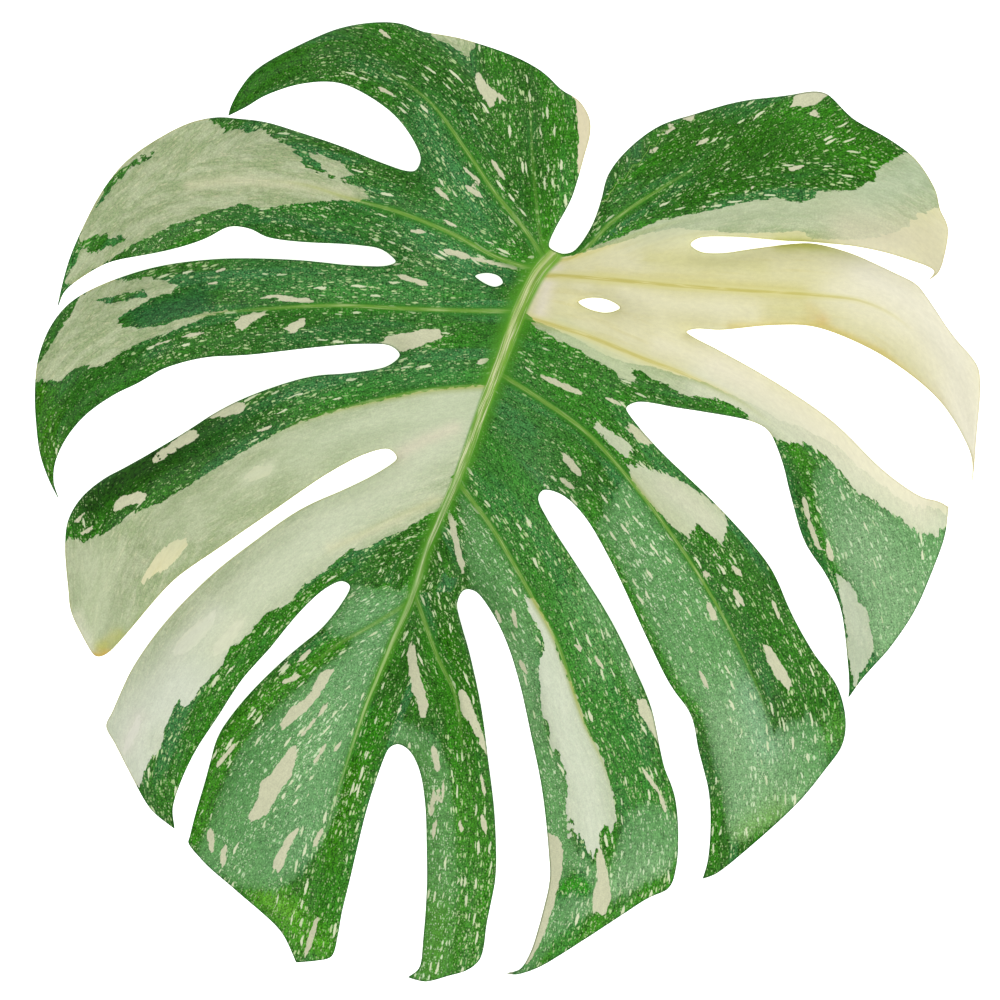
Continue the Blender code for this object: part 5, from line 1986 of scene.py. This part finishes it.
def fine_vein(line, number, side):
    """One vein: for each distance beside the line, the rule gives how far along it lies."""
    beside = np.arange(VEIN_FROM, VEIN_TO, VEIN_STEP)
    along = number * VEIN_SPACING + VEIN_LEAN * beside + VEIN_BEND * beside**2
    fits = along < line.length - PAST_TIP
    beside, along = beside[fits], along[fits]
    if len(beside) < VEIN_LEAST_POINTS:
        return None
    root = [np.interp(along, line.along, line.points[:, k]) for k in (0, 1)]
    ahead = np.gradient(line.points, line.along, axis=0)
    ahead = np.column_stack([np.interp(along, line.along, ahead[:, k]) for k in (0, 1)])
    normal = np.column_stack([-ahead[:, 1], ahead[:, 0]])
    normal /= np.linalg.norm(normal, axis=1)[:, None]
    points = np.column_stack(root) + normal * beside[:, None] * side
    flow = np.stack([other.measure(points) for other in FLOW_LINES])
    midrib_share = MIDRIB_LINE.measure(points)[:, 1] / MIDRIB_LINE.length
    mine = flow_gaps(flow, midrib_share).argmin(axis=0) == FLOW_LINES.index(line)
    clear = mine & inside_leaf(points) & (nearest(EDGE_TREE, points) > VEIN_CLEAR)
    count = len(clear) if clear.all() else int(clear.argmin())
    if count < VEIN_LEAST_POINTS:
        return None
    share = along[:count] / (line.length - PAST_TIP)
    size = np.clip(VEIN_SIZE_AT_ROOT - share, VEIN_SIZE_LEAST, 1)
    return points[:count], np.linspace(1, VEIN_END_SIZE, count) * size


def fine_vein_chains():
    veins = []
    for line in FLOW_LINES:
        for number in range(1, int((line.length - PAST_TIP) / VEIN_SPACING)):
            veins += [fine_vein(line, number, side) for side in (-1, 1)]
    veins = [vein for vein in veins if vein]
    heights = blade_underside(np.vstack([points for points, _ in veins]))
    stops = np.cumsum([len(points) for points, _ in veins])[:-1]
    for (points, size), height in zip(veins, np.split(heights, stops)):
        yield np.column_stack([points, height]), size


chains = list(fine_vein_chains())
print("fine veins", len(chains))
fine_veins = sweep(
    "leaf_fine_veins", chains,
    {"Half width": FINE_VEIN_HALF_WIDTH, "Depth for width": 0.8, "Sides": 6, "Skin": RIB_SKIN},
)
finish_piece(fine_veins)

# %% [markdown]
# The leaf lies on a sheet of white acrylic that is lit a little from behind, as for catalogue
# pictures of cut leaves, so hardly any shadow shows in the cuts.

# %% Lay the table
TABLE_HALF, TABLE_DROP = 3.0, 0.2 * MM
TABLE_WHITE, TABLE_GLOW = 0.92, 0.85


def table_finish():
    r = Recipe("white_acrylic")
    return r.finish({
        "Base Color": (TABLE_WHITE, TABLE_WHITE, TABLE_WHITE, 1),
        "Roughness": 0.6,
        "Emission Color": (1, 1, 1, 1),
        "Emission Strength": TABLE_GLOW,
    })


table = bpy.data.meshes.new("table")
corners = [(-TABLE_HALF, -TABLE_HALF), (TABLE_HALF, -TABLE_HALF)]
corners += [(TABLE_HALF, TABLE_HALF), (-TABLE_HALF, TABLE_HALF)]
table.from_pydata([(x, y, -TABLE_DROP) for x, y in corners], [], [(0, 1, 2, 3)])
table.materials.append(table_finish())
table_object = add_object("table", table)
table_object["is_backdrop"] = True
print("table", 2 * TABLE_HALF, "m wide")

# %% [markdown]
# Light comes from wide soft boxes round the leaf and low enough that a level leaf mirrors none
# of them into the camera. Only skin that leans towards the large box at the lower left shows a
# sheen, as it does in the photograph. The room itself gives a weak even light. Each box has its
# place, the length of its side in metres, and its power in watts.

# %% Set the lights
LIGHTS = {
    "lower left": ((-0.5, -1.6, 2.6), 1.9, 55),
    "right": ((2.0, -0.3, 1.2), 1.2, 20),
    "upper left": ((-1.4, 1.7, 1.1), 1.2, 16),
    "upper right": ((1.3, 1.8, 1.1), 1.2, 12),
}
ROOM_LIGHT = 0.25

for name, (place, side, power) in LIGHTS.items():
    lamp = bpy.data.lights.new(name, "AREA")
    lamp.size = side
    lamp.energy = power
    lamp_object = add_object(name, lamp)
    lamp_object.location = place
    lamp_object.rotation_euler = Vector(place).to_track_quat("Z", "Y").to_euler()
    print(name, "at", round(Vector(place).length, 1), "m from the leaf")

world = bpy.data.worlds.new("studio")
world.use_nodes = True
room = world.node_tree.nodes["Background"].inputs
room["Color"].default_value = (1, 1, 1, 1)
room["Strength"].default_value = ROOM_LIGHT
bpy.context.scene.world = world
bpy.context.scene.view_settings.view_transform = "Standard"

# %% [markdown]
# The camera looks straight down from far away through a long lens, so the arched lobes keep the
# outline that they have in the photograph.

# %% Place the camera
CAMERA_LENS = 400
CAMERA_SENSOR = 36
CAMERA_SEES_TO = 50
PHOTO_SIZE = 1000
VIEW_WIDTH = PHOTO_SIZE * METRES_PER_PIXEL
LEVEL = 8 * MM

camera = bpy.data.cameras.new("camera")
camera.lens = CAMERA_LENS
camera.sensor_width = CAMERA_SENSOR
camera.clip_end = CAMERA_SEES_TO
camera_object = add_object("camera", camera)
x, y = to_metres((PHOTO_SIZE / 2, PHOTO_SIZE / 2))
camera_object.location = (x, y, LEVEL + VIEW_WIDTH * CAMERA_LENS / CAMERA_SENSOR)
bpy.context.scene.camera = camera_object
print("camera", [round(v, 4) for v in camera_object.location])

# %% [markdown]
# The dressed leaf's box is printed, beside the model's box printed at the start.

# %% Show the dressed leaf's box
visual_box = [list(corner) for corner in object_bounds()]
print("visual box in metres", [[round(v, 4) for v in corner] for corner in visual_box])
